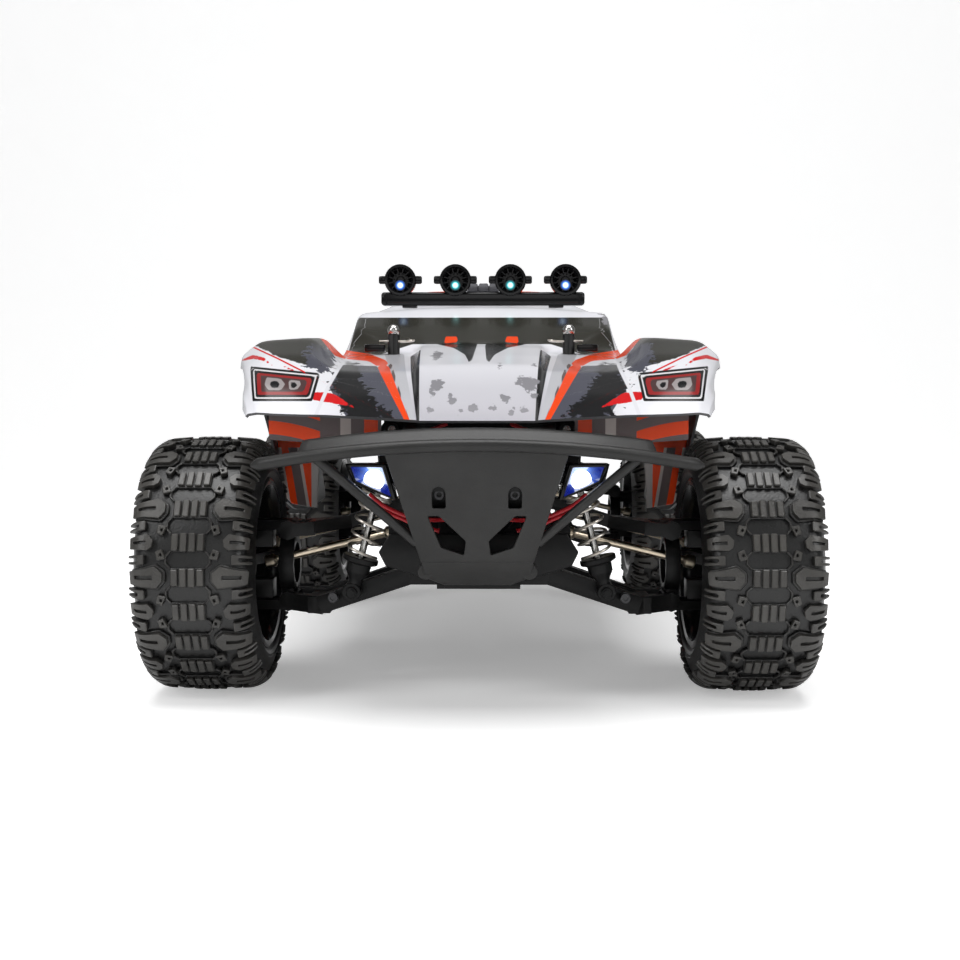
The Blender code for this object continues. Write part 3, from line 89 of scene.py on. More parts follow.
def noise(tree, coords, scale, detail, roughness):
    node = addNode(tree, "ShaderNodeTexNoise")
    node.inputs["Scale"].default_value = scale
    node.inputs["Detail"].default_value = detail
    node.inputs["Roughness"].default_value = roughness
    tree.links.new(coords, node.inputs["Vector"])
    return node.outputs[0]


def ramp(tree, value, low, high, outLow=0.0, outHigh=1.0):
    node = addNode(tree, "ShaderNodeMapRange")
    for slot, number in zip(node.inputs[1:5], (low, high, outLow, outHigh)):
        slot.default_value = number
    tree.links.new(value, node.inputs[0])
    return node.outputs[0]


# shared effects

def newGroup(name, kind, inlets, outlets):
    group = bpy.data.node_groups.new(name, kind)
    for way, sockets in (("INPUT", inlets), ("OUTPUT", outlets)):
        for label, sort, start in sockets:
            made = group.interface.new_socket(label, in_out=way, socket_type="NodeSocket" + sort)
            if start is not None:
                made.default_value = start
    return group


def makeGrainGroup():
    group = newGroup("mouldGrain", "ShaderNodeTree",
                     [("Vector", "Vector", None), ("Scale", "Float", 900.0), ("Strength", "Float", 0.1)],
                     [("Normal", "Vector", None), ("Mottle", "Float", None)])
    inlet = addNode(group, "NodeGroupInput", (-600, 0))
    outlet = addNode(group, "NodeGroupOutput", (400, 0))
    fine = addNode(group, "ShaderNodeTexNoise", (-300, 100))
    fine.inputs["Detail"].default_value = 2
    group.links.new(inlet.outputs["Vector"], fine.inputs["Vector"])
    group.links.new(inlet.outputs["Scale"], fine.inputs["Scale"])
    bump = addNode(group, "ShaderNodeBump", (0, 100))
    bump.inputs["Distance"].default_value = 0.0004
    group.links.new(inlet.outputs["Strength"], bump.inputs["Strength"])
    group.links.new(fine.outputs[0], bump.inputs["Height"])
    wide = addNode(group, "ShaderNodeTexNoise", (-300, -200))
    wide.inputs["Scale"].default_value = 45
    wide.inputs["Detail"].default_value = 4
    group.links.new(inlet.outputs["Vector"], wide.inputs["Vector"])
    group.links.new(bump.outputs[0], outlet.inputs["Normal"])
    group.links.new(wide.outputs[0], outlet.inputs["Mottle"])
    return group


def makeDustGroup():
    group = newGroup("topDust", "ShaderNodeTree", [("Vector", "Vector", None), ("Amount", "Float", 0.2)],
                     [("Mask", "Float", None)])
    inlet = addNode(group, "NodeGroupInput", (-600, 0))
    outlet = addNode(group, "NodeGroupOutput", (400, 0))
    shape = addNode(group, "ShaderNodeNewGeometry", (-600, -200))
    split = addNode(group, "ShaderNodeSeparateXYZ", (-400, -200))
    group.links.new(shape.outputs["Normal"], split.inputs[0])
    up = ramp(group, split.outputs[2], 0.2, 1.0)
    cloud = ramp(group, noise(group, inlet.outputs["Vector"], 60, 5, 0.6), 0.4, 0.75)
    mask = mathNode(group, "MULTIPLY", mathNode(group, "MULTIPLY", up, cloud), inlet.outputs["Amount"])
    group.links.new(mask, outlet.inputs["Mask"])
    return group


grainGroup = makeGrainGroup()
dustGroup = makeDustGroup()


def newMaterial(name):
    material = bpy.data.materials.new(name)
    material.use_nodes = True
    tree = material.node_tree
    shader = tree.nodes["Principled BSDF"]
    coords = addNode(tree, "ShaderNodeTexCoord", (-900, 0)).outputs["Object"]
    return material, tree, shader, coords


def setShader(shader, roughness, metallic=0.0, coat=0.0, specular=0.5, colour=None):
    shader.inputs["Roughness"].default_value = roughness
    shader.inputs["Metallic"].default_value = metallic
    shader.inputs["Coat Weight"].default_value = coat
    shader.inputs["Coat Roughness"].default_value = 0.06
    shader.inputs["Specular IOR Level"].default_value = specular
    if colour is not None:
        shader.inputs["Base Color"].default_value = (*colour, 1)


def grainy(name, colour, lighter, roughness, grainScale, grainStrength, dust, specular, paintedGrooveShade=None):
    material, tree, shader, coords = newMaterial(name)
    setShader(shader, roughness=roughness, specular=specular)
    grain = addNode(tree, "ShaderNodeGroup", (-600, 200), node_tree=grainGroup)
    grain.inputs["Scale"].default_value = grainScale
    grain.inputs["Strength"].default_value = grainStrength
    tree.links.new(coords, grain.inputs["Vector"])
    tree.links.new(grain.outputs["Normal"], shader.inputs["Normal"])
    base = mixColour(tree, ramp(tree, grain.outputs["Mottle"], 0.3, 0.7), colour, lighter)
    film = addNode(tree, "ShaderNodeGroup", (-600, -200), node_tree=dustGroup)
    film.inputs["Amount"].default_value = dust
    tree.links.new(coords, film.inputs["Vector"])
    base = mixColour(tree, film.outputs["Mask"], base, (0.2, 0.19, 0.18))
    if paintedGrooveShade:
        # painted shade: the rubber is darker towards the bottom of the tread grooves and lighter on the lug
        # tops
        rise = addNode(tree, "ShaderNodeAttribute", attribute_name="rise").outputs["Fac"]
        base = mixColour(tree, ramp(tree, rise, 0.3, 0.95), paintedGrooveShade, base)
    tree.links.new(base, shader.inputs["Base Color"])
    return material


def plain(name, colour, roughness, metallic=0.0, coat=0.0, specular=0.5):
    material, _, shader, _ = newMaterial(name)
    setShader(shader, roughness, metallic, coat, specular, colour)
    return material


def glowing(name, colour, strength):
    material, _, shader, _ = newMaterial(name)
    setShader(shader, roughness=0.3, colour=(0, 0, 0))
    shader.inputs["Emission Color"].default_value = (*colour, 1)
    shader.inputs["Emission Strength"].default_value = strength
    return material


paints = {
    "bumper": grainy("bumperPlastic", (0.018, 0.0177, 0.0172), (0.029, 0.0285, 0.0278), 0.38, 1500, 0.18,
                     0.06, 0.42),
    "arm": grainy("armPlastic", (0.006, 0.006, 0.0062), (0.011, 0.011, 0.0113), 0.36, 1500, 0.12, 0.02, 0.24),
    # tyre rubber: the last colour is painted shade at the bottom of the tread grooves
    "rubber": grainy("tyreRubber", (0.031, 0.0292, 0.0262), (0.068, 0.0645, 0.0582), 0.34, 1100, 0.34, 0.2,
                     0.7, (0.005, 0.005, 0.0048)),
    "gloss": plain("glossBlack", (0.006, 0.006, 0.0065), 0.14, 0, 0.0, 0.35),
    "rim": plain("rimBlack", (0.01, 0.01, 0.0105), 0.2, 0, 0.2),
    "chrome": plain("springChrome", (0.86, 0.8, 0.72), 0.34, 1.0),
    "steel": plain("machinedSteel", (0.58, 0.57, 0.55), 0.24, 1.0),
    "gold": plain("warmSteel", (0.86, 0.74, 0.57), 0.28, 1.0),
    "screw": plain("blackScrew", (0.07, 0.07, 0.073), 0.28, 0.8),
    "redWire": plain("redWire", (0.5, 0.012, 0.02), 0.35),
    "redCase": plain("redCase", (0.42, 0.02, 0.025), 0.4),
    "battery": plain("batteryWrap", (0.03, 0.06, 0.22), 0.3, 0, 0.3),
    "gear": plain("gearNylon", (0.07, 0.07, 0.075), 0.45),
    "motorCan": plain("motorCan", (0.35, 0.35, 0.36), 0.28, 1.0),
    "scoop": plain("scoopGrey", (0.1, 0.1, 0.11), 0.35),
}
print("stage 2: materials made")


# mesh helpers: all pieces are built in place; meshes are in metres, and named sizes are in millimetres

def linked(name, data):
    made = bpy.data.objects.new(name, data)
    bpy.context.scene.collection.objects.link(made)
    return made


def evaluated(holder):
    bpy.context.view_layer.update()
    graph = bpy.context.evaluated_depsgraph_get()
    return bpy.data.meshes.new_from_object(holder.evaluated_get(graph))


def pieceFrom(name, mesh, material, body, replaced=None, smooth=30):
    mesh.name = name
    if material is not None:
        mesh.materials.clear()
        mesh.materials.append(material)
    if smooth:
        mesh.shade_smooth()
        mesh.set_sharp_from_angle(angle=math.radians(smooth))
    made = linked(name, mesh)
    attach(made, body)
    if replaced:
        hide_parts(replaced)
    return made


def meshFrom(points, faces, outward=True):
    mesh = bpy.data.meshes.new("shape")
    mesh.from_pydata([tuple(p) for p in points], [], [tuple(f) for f in faces])
    if outward:
        shape = bmesh.new()
        shape.from_mesh(mesh)
        bmesh.ops.recalc_face_normals(shape, faces=shape.faces)
        shape.to_mesh(mesh)
        shape.free()
    return mesh


def joined(meshes):
    shape = bmesh.new()
    for mesh in meshes:
        shape.from_mesh(mesh)
    result = bpy.data.meshes.new("joined")
    shape.to_mesh(result)
    shape.free()
    return result


def moved(mesh, matrix, mirror=False):
    copy = mesh.copy()
    copy.transform(matrix)
    if mirror:
        copy.flip_normals()
    return copy


def frameOf(direction):
    along = Vector(direction).normalized()
    side = along.cross((0, 0, 1) if abs(along.z) < 0.9 else (0, 1, 0)).normalized()
    return along, side, along.cross(side)


def ringFaces(rows, sides, closed=False):
    faces = []
    for row in range(rows if closed else rows - 1):
        far = (row + 1) % rows
        for k in range(sides):
            n = (k + 1) % sides
            faces.append((row * sides + k, row * sides + n, far * sides + n, far * sides + k))
    return faces


def gridFaces(rows, columns):
    return [(r * columns + c, r * columns + c + 1, (r + 1) * columns + c + 1, (r + 1) * columns + c)
            for r in range(rows - 1) for c in range(columns - 1)]


def endFaces(rows, sides):
    return [range(sides), range((rows - 1) * sides, rows * sides)]


def inMetres(profile):
    return [(distance * mm, radius * mm) for distance, radius in profile]


def turned(start, direction, profile, sides):
    along, side, up = frameOf(direction)
    points = []
    for distance, radius in profile:
        for k in range(sides):
            a = 2 * math.pi * k / sides
            points.append(Vector(start) + along * distance + (side * math.cos(a) + up * math.sin(a)) * radius)
    return meshFrom(points, ringFaces(len(profile), sides) + endFaces(len(profile), sides))


def tubeAlong(points, radius, sides, taper=None):
    points = [Vector(p) for p in points]
    ring = []
    normal = None
    for i, point in enumerate(points):
        tangent = (points[min(i + 1, len(points) - 1)] - points[max(i - 1, 0)]).normalized()
        if normal is None:
            normal = frameOf(tangent)[1]
        normal = (normal - tangent * normal.dot(tangent)).normalized()
        other = tangent.cross(normal)
        size = radius * (taper[i] if taper else 1)
        for k in range(sides):
            a = 2 * math.pi * k / sides
            ring.append(point + (normal * math.cos(a) + other * math.sin(a)) * size)
    return meshFrom(ring, ringFaces(len(points), sides) + endFaces(len(points), sides))


def bowed(points, steps):
    points = [Vector(p) for p in points]
    out = []
    for i in range(len(points) - 1):
        p0, p1, p2, p3 = points[max(i - 1, 0)], points[i], points[i + 1], points[min(i + 2, len(points) - 1)]
        for k in range(steps):
            t = k / steps
            out.append(0.5 * (2 * p1 + (p2 - p0) * t + (2 * p0 - 5 * p1 + 4 * p2 - p3) * t * t
                              + (3 * p1 - p0 - 3 * p2 + p3) * t ** 3))
    return out + [points[-1]]


def withModifiers(mesh, *setups):
    holder = linked("holder", mesh)
    for kind, values in setups:
        change = holder.modifiers.new(kind, kind)
        for name, value in values.items():
            setattr(change, name, value)
    result = evaluated(holder)
    bpy.data.objects.remove(holder)
    return result


def rounded(mesh, width, segments=2, angle=32):
    shape = bmesh.new()
    shape.from_mesh(mesh)
    bmesh.ops.remove_doubles(shape, verts=shape.verts, dist=1e-6)
    bmesh.ops.dissolve_limit(shape, angle_limit=math.radians(2), verts=shape.verts, edges=shape.edges)
    flat = bpy.data.meshes.new("flat")
    shape.to_mesh(flat)
    shape.free()
    return withModifiers(flat, ("BEVEL", dict(width=width, segments=segments, limit_method="ANGLE",
                                              angle_limit=math.radians(angle), miter_outer="MITER_ARC")))


def box(low, high, width=0.0, segments=2):
    (x0, x1), (y0, y1), (z0, z1) = (sorted(pair) for pair in zip(low, high))
    points = [(x * mm, y * mm, z * mm) for z in (z0, z1) for x, y in ((x0, y0), (x1, y0), (x1, y1), (x0, y1))]
    mesh = meshFrom(points, [(3, 2, 1, 0), (4, 5, 6, 7)] + ringFaces(2, 4))
    return rounded(mesh, width * mm, segments) if width else mesh


def lofted(loops, place):
    sides = len(loops[0][0])
    points = [place(u, v, d) for loop, d in loops for u, v in loop]
    return meshFrom(points, endFaces(len(loops), sides) + ringFaces(len(loops), sides))


def slab(outline, place, low, high, width=0.0, segments=2):
    mesh = lofted([(outline, low), (outline, high)], place)
    return rounded(mesh, width, segments) if width else mesh


def carved(mesh, tools):
    holder = linked("holder", mesh)
    helpers = []
    for tool in tools:
        helper = linked("tool", tool)
        helpers.append(helper)
        change = holder.modifiers.new("carve", "BOOLEAN")
        change.operation = "DIFFERENCE"
        change.object = helper
        change.solver = "EXACT"
    result = evaluated(holder)
    for helper in helpers + [holder]:
        bpy.data.objects.remove(helper)
    return result


bodyOf = {node: body for body, members in frame["record"]["behaviour"]["bodies"].items() for node in members}


def dressed(node, paint, width):
    source = nodes[node].data.copy()
    source.materials.clear()
    return pieceFrom(node + "_look", rounded(source, width), paints[paint], bodyOf[node], node)


corners = [(end, side, f"{end}_{side}_", sx, sy) for end, sy in (("front", -1), ("rear", 1))
           for side, sx in (("left", 1), ("right", -1))]


# repeated shapes: one shape turned round the X axis

def makeRingGroup():
    group = newGroup("ringRepeat", "GeometryNodeTree",
                     [("Geometry", "Geometry", None), ("Count", "Int", 6), ("Turn", "Float", 0.0),
                      ("Paint", "Material", None)], [("Geometry", "Geometry", None)])
    inlet = addNode(group, "NodeGroupInput", (-800, 0))
    outlet = addNode(group, "NodeGroupOutput", (800, 0))
    points = addNode(group, "GeometryNodePoints", (-400, 200))
    index = addNode(group, "GeometryNodeInputIndex", (-800, -200))
    step = mathNode(group, "DIVIDE", 2 * math.pi, inlet.outputs["Count"])
    angle = mathNode(group, "MULTIPLY_ADD", index.outputs[0], step, inlet.outputs["Turn"])
    turn = addNode(group, "ShaderNodeCombineXYZ", (-200, -200))
    placed = addNode(group, "GeometryNodeInstanceOnPoints", (100, 100))
    real = addNode(group, "GeometryNodeRealizeInstances", (350, 100))
    paint = addNode(group, "GeometryNodeSetMaterial", (580, 100))
    link = group.links.new
    link(inlet.outputs["Count"], points.inputs["Count"])
    link(angle, turn.inputs[0])
    link(points.outputs[0], placed.inputs["Points"])
    link(inlet.outputs["Geometry"], placed.inputs["Instance"])
    link(turn.outputs[0], placed.inputs["Rotation"])
    link(placed.outputs[0], real.inputs[0])
    link(real.outputs[0], paint.inputs["Geometry"])
    link(inlet.outputs["Paint"], paint.inputs["Material"])
    link(paint.outputs[0], outlet.inputs[0])
    return group


def repeated(mesh, group, **values):
    holder = linked("holder", mesh)
    change = holder.modifiers.new("repeat", "NODES")
    change.node_group = group
    for item in group.interface.items_tree:
        if item.in_out == "INPUT" and item.name in values:
            change[item.identifier] = values[item.name]
    result = evaluated(holder)
    holder.modifiers.clear()
    bpy.data.objects.remove(holder)
    return result


ringGroup = makeRingGroup()


def ringProfile(profile, sides, closed=True):
    points = []
    for x, radius in profile:
        for k in range(sides):
            a = 2 * math.pi * k / sides
            points.append((x * mm, radius * mm * math.sin(a), radius * mm * math.cos(a)))
    ends = [] if closed else endFaces(len(profile), sides)
    return meshFrom(points, ringFaces(len(profile), sides, closed) + ends)


# tyres: one pitch of tread is drawn flat, bent over the shoulder and repeated round the axle

tyreSizes = dict(radius=57.5, carcass=54.9, crown=0.8, flat=17.4, corner=7.4, lean=0.07, pitches=12, lug=2.6,
                 sunk=1.4, sides=120, drawn=10 / 12, slot=1.4, step=1.3, wedgeAt=6.1, rib=1.5, padHalf=8.6,
                 padReach=4.9, padHeight=1.1, barHalf=1.65)
padBars = ((-6.45, 4.2), (-2.15, 4.7), (2.15, 4.7), (6.45, 4.2))
shoulderCuts = (19.5, 21.5, 23.5, 25.5, 27.5, 29.5)
treadRow = math.pi * tyreSizes["radius"] / tyreSizes["pitches"] / tyreSizes["drawn"]


def treadPlace(t, s, h):
    size = tyreSizes
    across = abs(t)
    if across <= size["flat"]:
        share = across / size["flat"]
        x, radius, lean = across, size["carcass"] - size["crown"] * share ** 2, size["lean"] * share
    else:
        lean = size["lean"] + (across - size["flat"]) / size["corner"]
        x = size["flat"] + size["corner"] * (math.sin(lean) - math.sin(size["lean"]))
        radius = size["carcass"] - size["crown"] - size["corner"] * (math.cos(size["lean"]) - math.cos(lean))
    x += h * math.sin(lean)
    radius += h * math.cos(lean)
    angle = s / size["radius"]
    return Vector((math.copysign(x, t), radius * math.sin(angle), radius * math.cos(angle))) * mm


def flatPlace(u, v, d):
    return Vector((u * tyreSizes["drawn"], v * tyreSizes["drawn"], d)) * mm


def lug(outline, height, width):
    return slab(outline, flatPlace, -tyreSizes["sunk"], height, width * mm, 1)


def slottedLug(outline, slot, height, depth, width=0.35):
    loops = [(outline, -tyreSizes["sunk"]), (outline, height), (slot, height), (slot, height - depth)]
    bevel = dict(width=width * mm, segments=1, limit_method="ANGLE", angle_limit=math.radians(32))
    return withModifiers(lofted(loops, flatPlace), ("BEVEL", bevel))


def oblong(t, s, half, reach):
    return [(t - half, s - reach), (t + half, s - reach), (t + half, s + reach), (t - half, s + reach)]


def shifted(outline, s, flip=False):
    return [(t, s + (-v if flip else v)) for t, v in outline]


def treadSide():
    size = tyreSizes
    top, slot = size["lug"], size["slot"]
    bigStep = [(11, -2.2), (14.4, -6.6), (28.6, -5.2), (29.6, 4), (15.6, 6.9), (11, 3)]
    big = [(12.4, -1.6), (15.2, -5.3), (28.2, -4), (29, 2.9), (16.2, 5.6), (12.4, 2.4)]
    bigSlot = [(17.2, -0.9), (17.4, -1.1), (25.4, -1), (25.6, 0.9), (17.6, 1.2), (17.2, 0.9)]
    small = [(18, -2.4), (20.2, -4.1), (28.8, -3.2), (29.2, 3), (20.2, 4.2), (17.4, 1.2)]
    smallSlot = [(20.8, -0.7), (21, -0.9), (26.6, -0.8), (26.8, 0.7), (21, 0.9), (20.8, 0.7)]
    wedge = [(10.7, -2.3), (14.9, -3.2), (16, 1.2), (12.8, 2.7)]
    wedgeHole = [(12.4, -0.9), (13.7, -1.2), (13.9, 0.3), (12.9, 0.8)]
    hook = [(21.6, -2.6), (31.2, -2.5), (31.2, -1), (24.4, -0.9), (24.4, 0.9), (31.2, 1), (31.2, 2.5),
            (21.6, 2.6)]
    rib = [(8.2, -4.4), (9.2, -4.6), (11.6, -2.1), (11.6, 2.1), (9.2, 4.6), (8.2, 4.4), (10.5, 1.7),
           (10.5, -1.7)]
    made = [lug(bigStep, top - size["step"], 0.3), slottedLug(big, bigSlot, top, slot),
            slottedLug(shifted(small, treadRow), shifted(smallSlot, treadRow), top, slot)]
    for flip, s in ((False, treadRow - size["wedgeAt"]), (True, treadRow + size["wedgeAt"])):
        made.append(slottedLug(shifted(wedge, s, flip), shifted(wedgeHole, s, flip), top - 0.2, 1.3, 0.3))
    for s in (treadRow * 0.5, treadRow * 1.5):
        made.append(lug(shifted(hook, s), top - 0.1, 0.35))
        made.append(lug(shifted(rib, s), size["rib"], 0.25))
    return joined(made)


def treadPitch():
    size = tyreSizes
    top = size["lug"]
    side = treadSide()
    parts = [side, moved(side, Matrix.Diagonal((-1, 1, 1, 1)), True)]
    for s in (0, treadRow):
        parts.append(lug(oblong(0, s, size["padHalf"], size["padReach"]), size["padHeight"], 0.3))
        for t, reach in padBars:
            parts.append(lug(oblong(t, s, size["barHalf"], reach), top, 0.35))
    shape = bmesh.new()
    for mesh in parts:
        shape.from_mesh(mesh)
    for cut in shoulderCuts:
        for sign in (-1, 1):
            bmesh.ops.bisect_plane(shape, geom=shape.verts[:] + shape.edges[:] + shape.faces[:],
                                   plane_co=(sign * cut * tyreSizes["drawn"] * mm, 0, 0), plane_no=(1, 0, 0))
    rise = shape.verts.layers.float.new("rise")
    for vert in shape.verts:
        vert[rise] = max(0, vert.co.z / mm / top)
        vert.co = treadPlace(vert.co.x / mm, vert.co.y / mm, vert.co.z / mm)
    mesh = bpy.data.meshes.new("pitch")
    shape.to_mesh(mesh)
    shape.free()
    return mesh


def tyreMesh():
    half = []
    for t in (0, 6, 12, 17, 18.5, 20, 21.5, 23, 24.5, 26, 27.5):
        place = treadPlace(t, 0, 0)
        half.append((place.x / mm, place.z / mm))
    half += [(25.6, 44.4), (26, 43.2), (25.4, 42.6), (25.7, 41.6), (25.1, 40.2), (24.1, 39.2), (22.7, 38.6)]
    half += [(21.5, 39.4), (21.7, 44), (14, 50.6)]
    profile = half + [(0, 51.6)] + [(-x, r) for x, r in reversed(half[1:])]
    carcass = ringProfile(profile, tyreSizes["sides"])
    tread = repeated(treadPitch(), ringGroup, Count=tyreSizes["pitches"], Turn=0.0, Paint=paints["rubber"])
    return joined([carcass, tread])


# rims: deep barrel, six dished spokes, boss, wheel nut and spoke bolts

rimSizes = dict(sides=96, spokes=6, turn=0.136, boltRing=13.5, boltX=9.4, hubX=7.0, dish=6.0, dishStart=8.0,
                dishRun=26.0, dishPower=1.6)
spokeRight = [(5, 6), (9, 4.9), (14, 3.9), (20, 3.5), (26, 4.2), (31, 5.6), (34.6, 7.6)]
spokeWeb = [(5, 1.2), (34.4, 1.2), (34.4, -1.2), (5, -1.2)]


def spokePlace(u, v, d):
    size = rimSizes
    dish = size["dish"] * max(0, (u - size["dishStart"]) / size["dishRun"]) ** size["dishPower"]
    return Vector(((size["hubX"] + dish + d) * mm, v * mm, u * mm))


def rimMesh():
    size = rimSizes
    half = [(0, 35.4), (15, 36), (21.6, 37.2), (22.6, 38.7), (23.6, 39.1), (24.5, 38.7), (24.9, 37.4),
            (24.4, 35.6), (23, 34.7), (19, 34.2), (8, 33.7)]
    barrel = ringProfile(half + [(0, 33.6)] + [(-x, r) for x, r in reversed(half[1:])], size["sides"])
    outline = spokeRight + [(u, -v) for u, v in reversed(spokeRight)]
    spoke = slab(outline, spokePlace, -2.6, 2.6, 0.9 * mm, 2)
    web = slab(spokeWeb, spokePlace, -6.5, -1, 0.5 * mm, 1)
    spokes = repeated(joined([spoke, web]), ringGroup, Count=size["spokes"], Turn=size["turn"],
                      Paint=paints["rim"])
    boss = ringProfile([(-9.9, 7.4), (-9.1, 9), (8, 9), (12.2, 8.4), (13.4, 7), (13.4, 5.8), (12.2, 5.6)], 40,
                       False)
    stub = ringProfile([(-17.4, 2.3), (-9, 2.3)], 20, False)
    return joined([barrel, spokes, boss, stub])


def wheelNut():
    flange = ringProfile([(12.1, 5.4), (13.2, 5.4), (13.6, 4.8)], 32, False)
    nut = rounded(ringProfile([(13.4, 4.4), (17, 4.4)], 6, False), 0.3 * mm)
    stem = ringProfile([(16.8, 2.2), (18.6, 2.2), (19, 1.8)], 20, False)
    bolt = moved(ringProfile([(0, 1.5), (1, 1.5), (1.4, 1.1)], 14, False),
                 Matrix.Translation((rimSizes["boltX"] * mm, 0, rimSizes["boltRing"] * mm)))
    bolts = repeated(bolt, ringGroup, Count=rimSizes["spokes"], Turn=rimSizes["turn"], Paint=paints["steel"])
    return joined([flange, nut, stem, bolts])


tyreShape = tyreMesh()
rimShape = rimMesh()
nutShape = wheelNut()
wheelPlace = dict(x=120.5, y=142.0, z=57.5)
for end, side, prefix, sx, sy in corners:
    place = Matrix.Translation((sx * wheelPlace["x"] * mm, sy * wheelPlace["y"] * mm, wheelPlace["z"] * mm))
    mirror = place @ Matrix.Diagonal((sx, 1, 1, 1))
    tyre, rim, nut = (moved(shape, mirror, sx < 0) for shape in (tyreShape, rimShape, nutShape))
    body = prefix + "wheel"
    pieceFrom(prefix + "tyre_look", tyre, paints["rubber"], body, prefix + "tyre")
    pieceFrom(prefix + "rim_look", rim, paints["rim"], body, prefix + "rim")
    pieceFrom(prefix + "wheel_nut", nut, paints["steel"], body, None)
print("stage 3: wheels,", len(tyreShape.polygons), "faces a tyre")


# body shell: a fine skin through the solid's sections, eased at the nose, with the livery, a painted hood
# shade and a painted crease highlight as signed distances

shellSections = [
    (-213, [(0, 122.7), (23.5, 122.7), (25, 123), (41, 124), (60, 125), (71, 125.2), (82, 125.5), (89.5, 126),
            (93.5, 125.4), (94.5, 124.4)]),
    (-198, [(0, 134), (25, 134), (26.5, 132.5), (50, 132.5), (63, 133), (77, 137), (89, 138.5), (95, 136.5),
            (98, 132.5), (98.5, 127.5)]),
    (-170, [(0, 146.5), (27, 146), (28.5, 143.5), (54, 143.5), (62, 144), (74, 150.5), (94, 150.5),
            (102, 145), (103.5, 136), (102.5, 124)]),
    (-140, [(0, 152), (28, 151.5), (30, 148), (55, 148), (64, 148), (76, 160), (100, 158.5), (108.5, 152),
            (110, 142), (109.5, 124)]),
    (-105, [(0, 157.5), (29, 157), (31, 153), (54, 153), (65, 152), (75, 162), (98, 160), (106.5, 153.5),
            (109, 140), (108.5, 110)]),
    (-80, [(0, 160), (29, 159.5), (33, 156), (66, 155), (72, 153), (79, 158.5), (95, 156), (103.5, 149),
           (106.5, 120), (104, 85)]),
    (-55, [(0, 171), (30, 171), (66, 169), (72, 156), (76.5, 151.5), (85, 152.5), (95, 150), (102, 143),
           (105.5, 112), (99, 75)]),
    (-28, [(0, 182.5), (32, 182), (67, 179.5), (73, 156), (77.5, 151), (86, 150), (95, 147.5), (101.5, 140),
           (105, 110), (97, 73)]),
    (-8, [(0, 183.4), (32, 182.9), (66.5, 180), (72.5, 155.5), (77.5, 150.7), (86, 150), (95, 147.5),
          (101.5, 140), (105, 110), (97, 73)]),
    (14, [(0, 196), (34, 195), (66, 180.8), (72.5, 155), (77.5, 150.5), (86, 150), (95, 147.5), (101.5, 140),
          (105, 110), (97, 73)]),
    (55, [(0, 194), (32, 193), (62, 178), (70, 154), (76, 150), (86, 150.5), (95, 148), (101.5, 140),
          (105, 111), (98, 74)]),
    (76, [(0, 153), (30, 153), (54, 152.5), (65, 151.5), (74, 150), (85, 153), (96, 151), (102.5, 144),
          (106, 120), (102, 84)]),
    (105, [(0, 144), (30, 144), (50, 144.5), (60, 146.5), (70, 149), (83, 157.5), (97, 156), (105, 150),
           (108, 136), (108, 112)]),
    (145, [(0, 142), (30, 142), (50, 142.5), (60, 145.5), (70, 149), (84, 160), (99, 158), (106.5, 151),
           (108.5, 138), (108.5, 124)]),
    (185, [(0, 142), (30, 142), (50, 142.5), (60, 145), (70, 148.5), (83, 157), (98, 155), (105.5, 147),
           (107.5, 134), (107.5, 121)]),
    (205, [(0, 141), (30, 141), (50, 141.5), (60, 144), (70, 147), (82, 150), (95, 147.5), (102, 141),
           (104, 131), (104, 119)]),
    (209, [(0, 121), (30, 121), (50, 121), (60, 121), (70, 120.5), (82, 120), (95, 119.5), (100, 119),
           (102, 118.5), (103, 118)]),
]
shellSizes = dict(wall=1.2, noseBow=12.0, noseFrom=140.0, noseRun=73.0, halfWidth=110.0, archY=142.0,
                  archZ=76.0, archRadius=70.0, archInside=78.0, postHole=3.8, soften=3.0, softenAcross=1.1,
                  step=1.6, fineTo=-150.0, middleTo=-20.0)
posts = ((43.0, -92.0, 164.0), (34.0, 112.0, 153.0))
eye = dict(x=8.3, y=-726.0, z=127.0, plane=560.0)


def smoothed(values, spread, axis):
    values = np.moveaxis(values, axis, 0)
    reach = max(1, int(3 * spread))
    weights = np.exp(-0.5 * (np.arange(-reach, reach + 1) / spread) ** 2)
    weights /= weights.sum()
    before = 2 * values[:1] - values[reach:0:-1]
    after = 2 * values[-1:] - values[-2:-reach - 2:-1]
    padded = np.concatenate([before, values, after])
    result = sum(w * padded[k:k + len(values)] for k, w in enumerate(weights))
    return np.moveaxis(result, 0, axis)


def shellGrid():
    at = np.array([y for y, half in shellSections], float)
    table = np.array([half for y, half in shellSections], float)
    fine = np.arange(at[0], at[-1] + 0.5)
    rows = np.stack([np.stack([np.interp(fine, at, table[:, i, c]) for c in (0, 1)], -1)
                     for i in range(table.shape[1])], 1)
    rows = smoothed(rows, shellSizes["soften"], 0)
    spans = np.linalg.norm(np.diff(table, axis=1), axis=2).mean(0)
    steps = [max(1, round(span / shellSizes["step"])) for span in spans]
    stops = np.concatenate([np.arange(n) / n + i for i, n in enumerate(steps)] + [[len(steps)]])
    index = np.minimum(stops.astype(int), len(steps) - 1)
    share = (stops - index)[None, :, None]
    half = rows[:, index] * (1 - share) + rows[:, index + 1] * share
    whole = np.concatenate([half[:, :0:-1] * (-1, 1), half], 1)
    whole = smoothed(whole, shellSizes["softenAcross"], 1)
    pitch = np.where(fine < shellSizes["fineTo"], 1, np.where(fine < shellSizes["middleTo"], 2, 4))
    keep = [i for i, y in enumerate(fine) if i % pitch[i] == 0 or y == fine[-1]]
    y = np.repeat(fine[keep][:, None], whole.shape[1], 1)
    x, z = whole[keep][..., 0], whole[keep][..., 1]
    ahead = np.clip((-y - shellSizes["noseFrom"]) / shellSizes["noseRun"], 0, 1)
    y = y + shellSizes["noseBow"] * ahead * (x / shellSizes["halfWidth"]) ** 2
    return np.stack([x, y, z], -1)


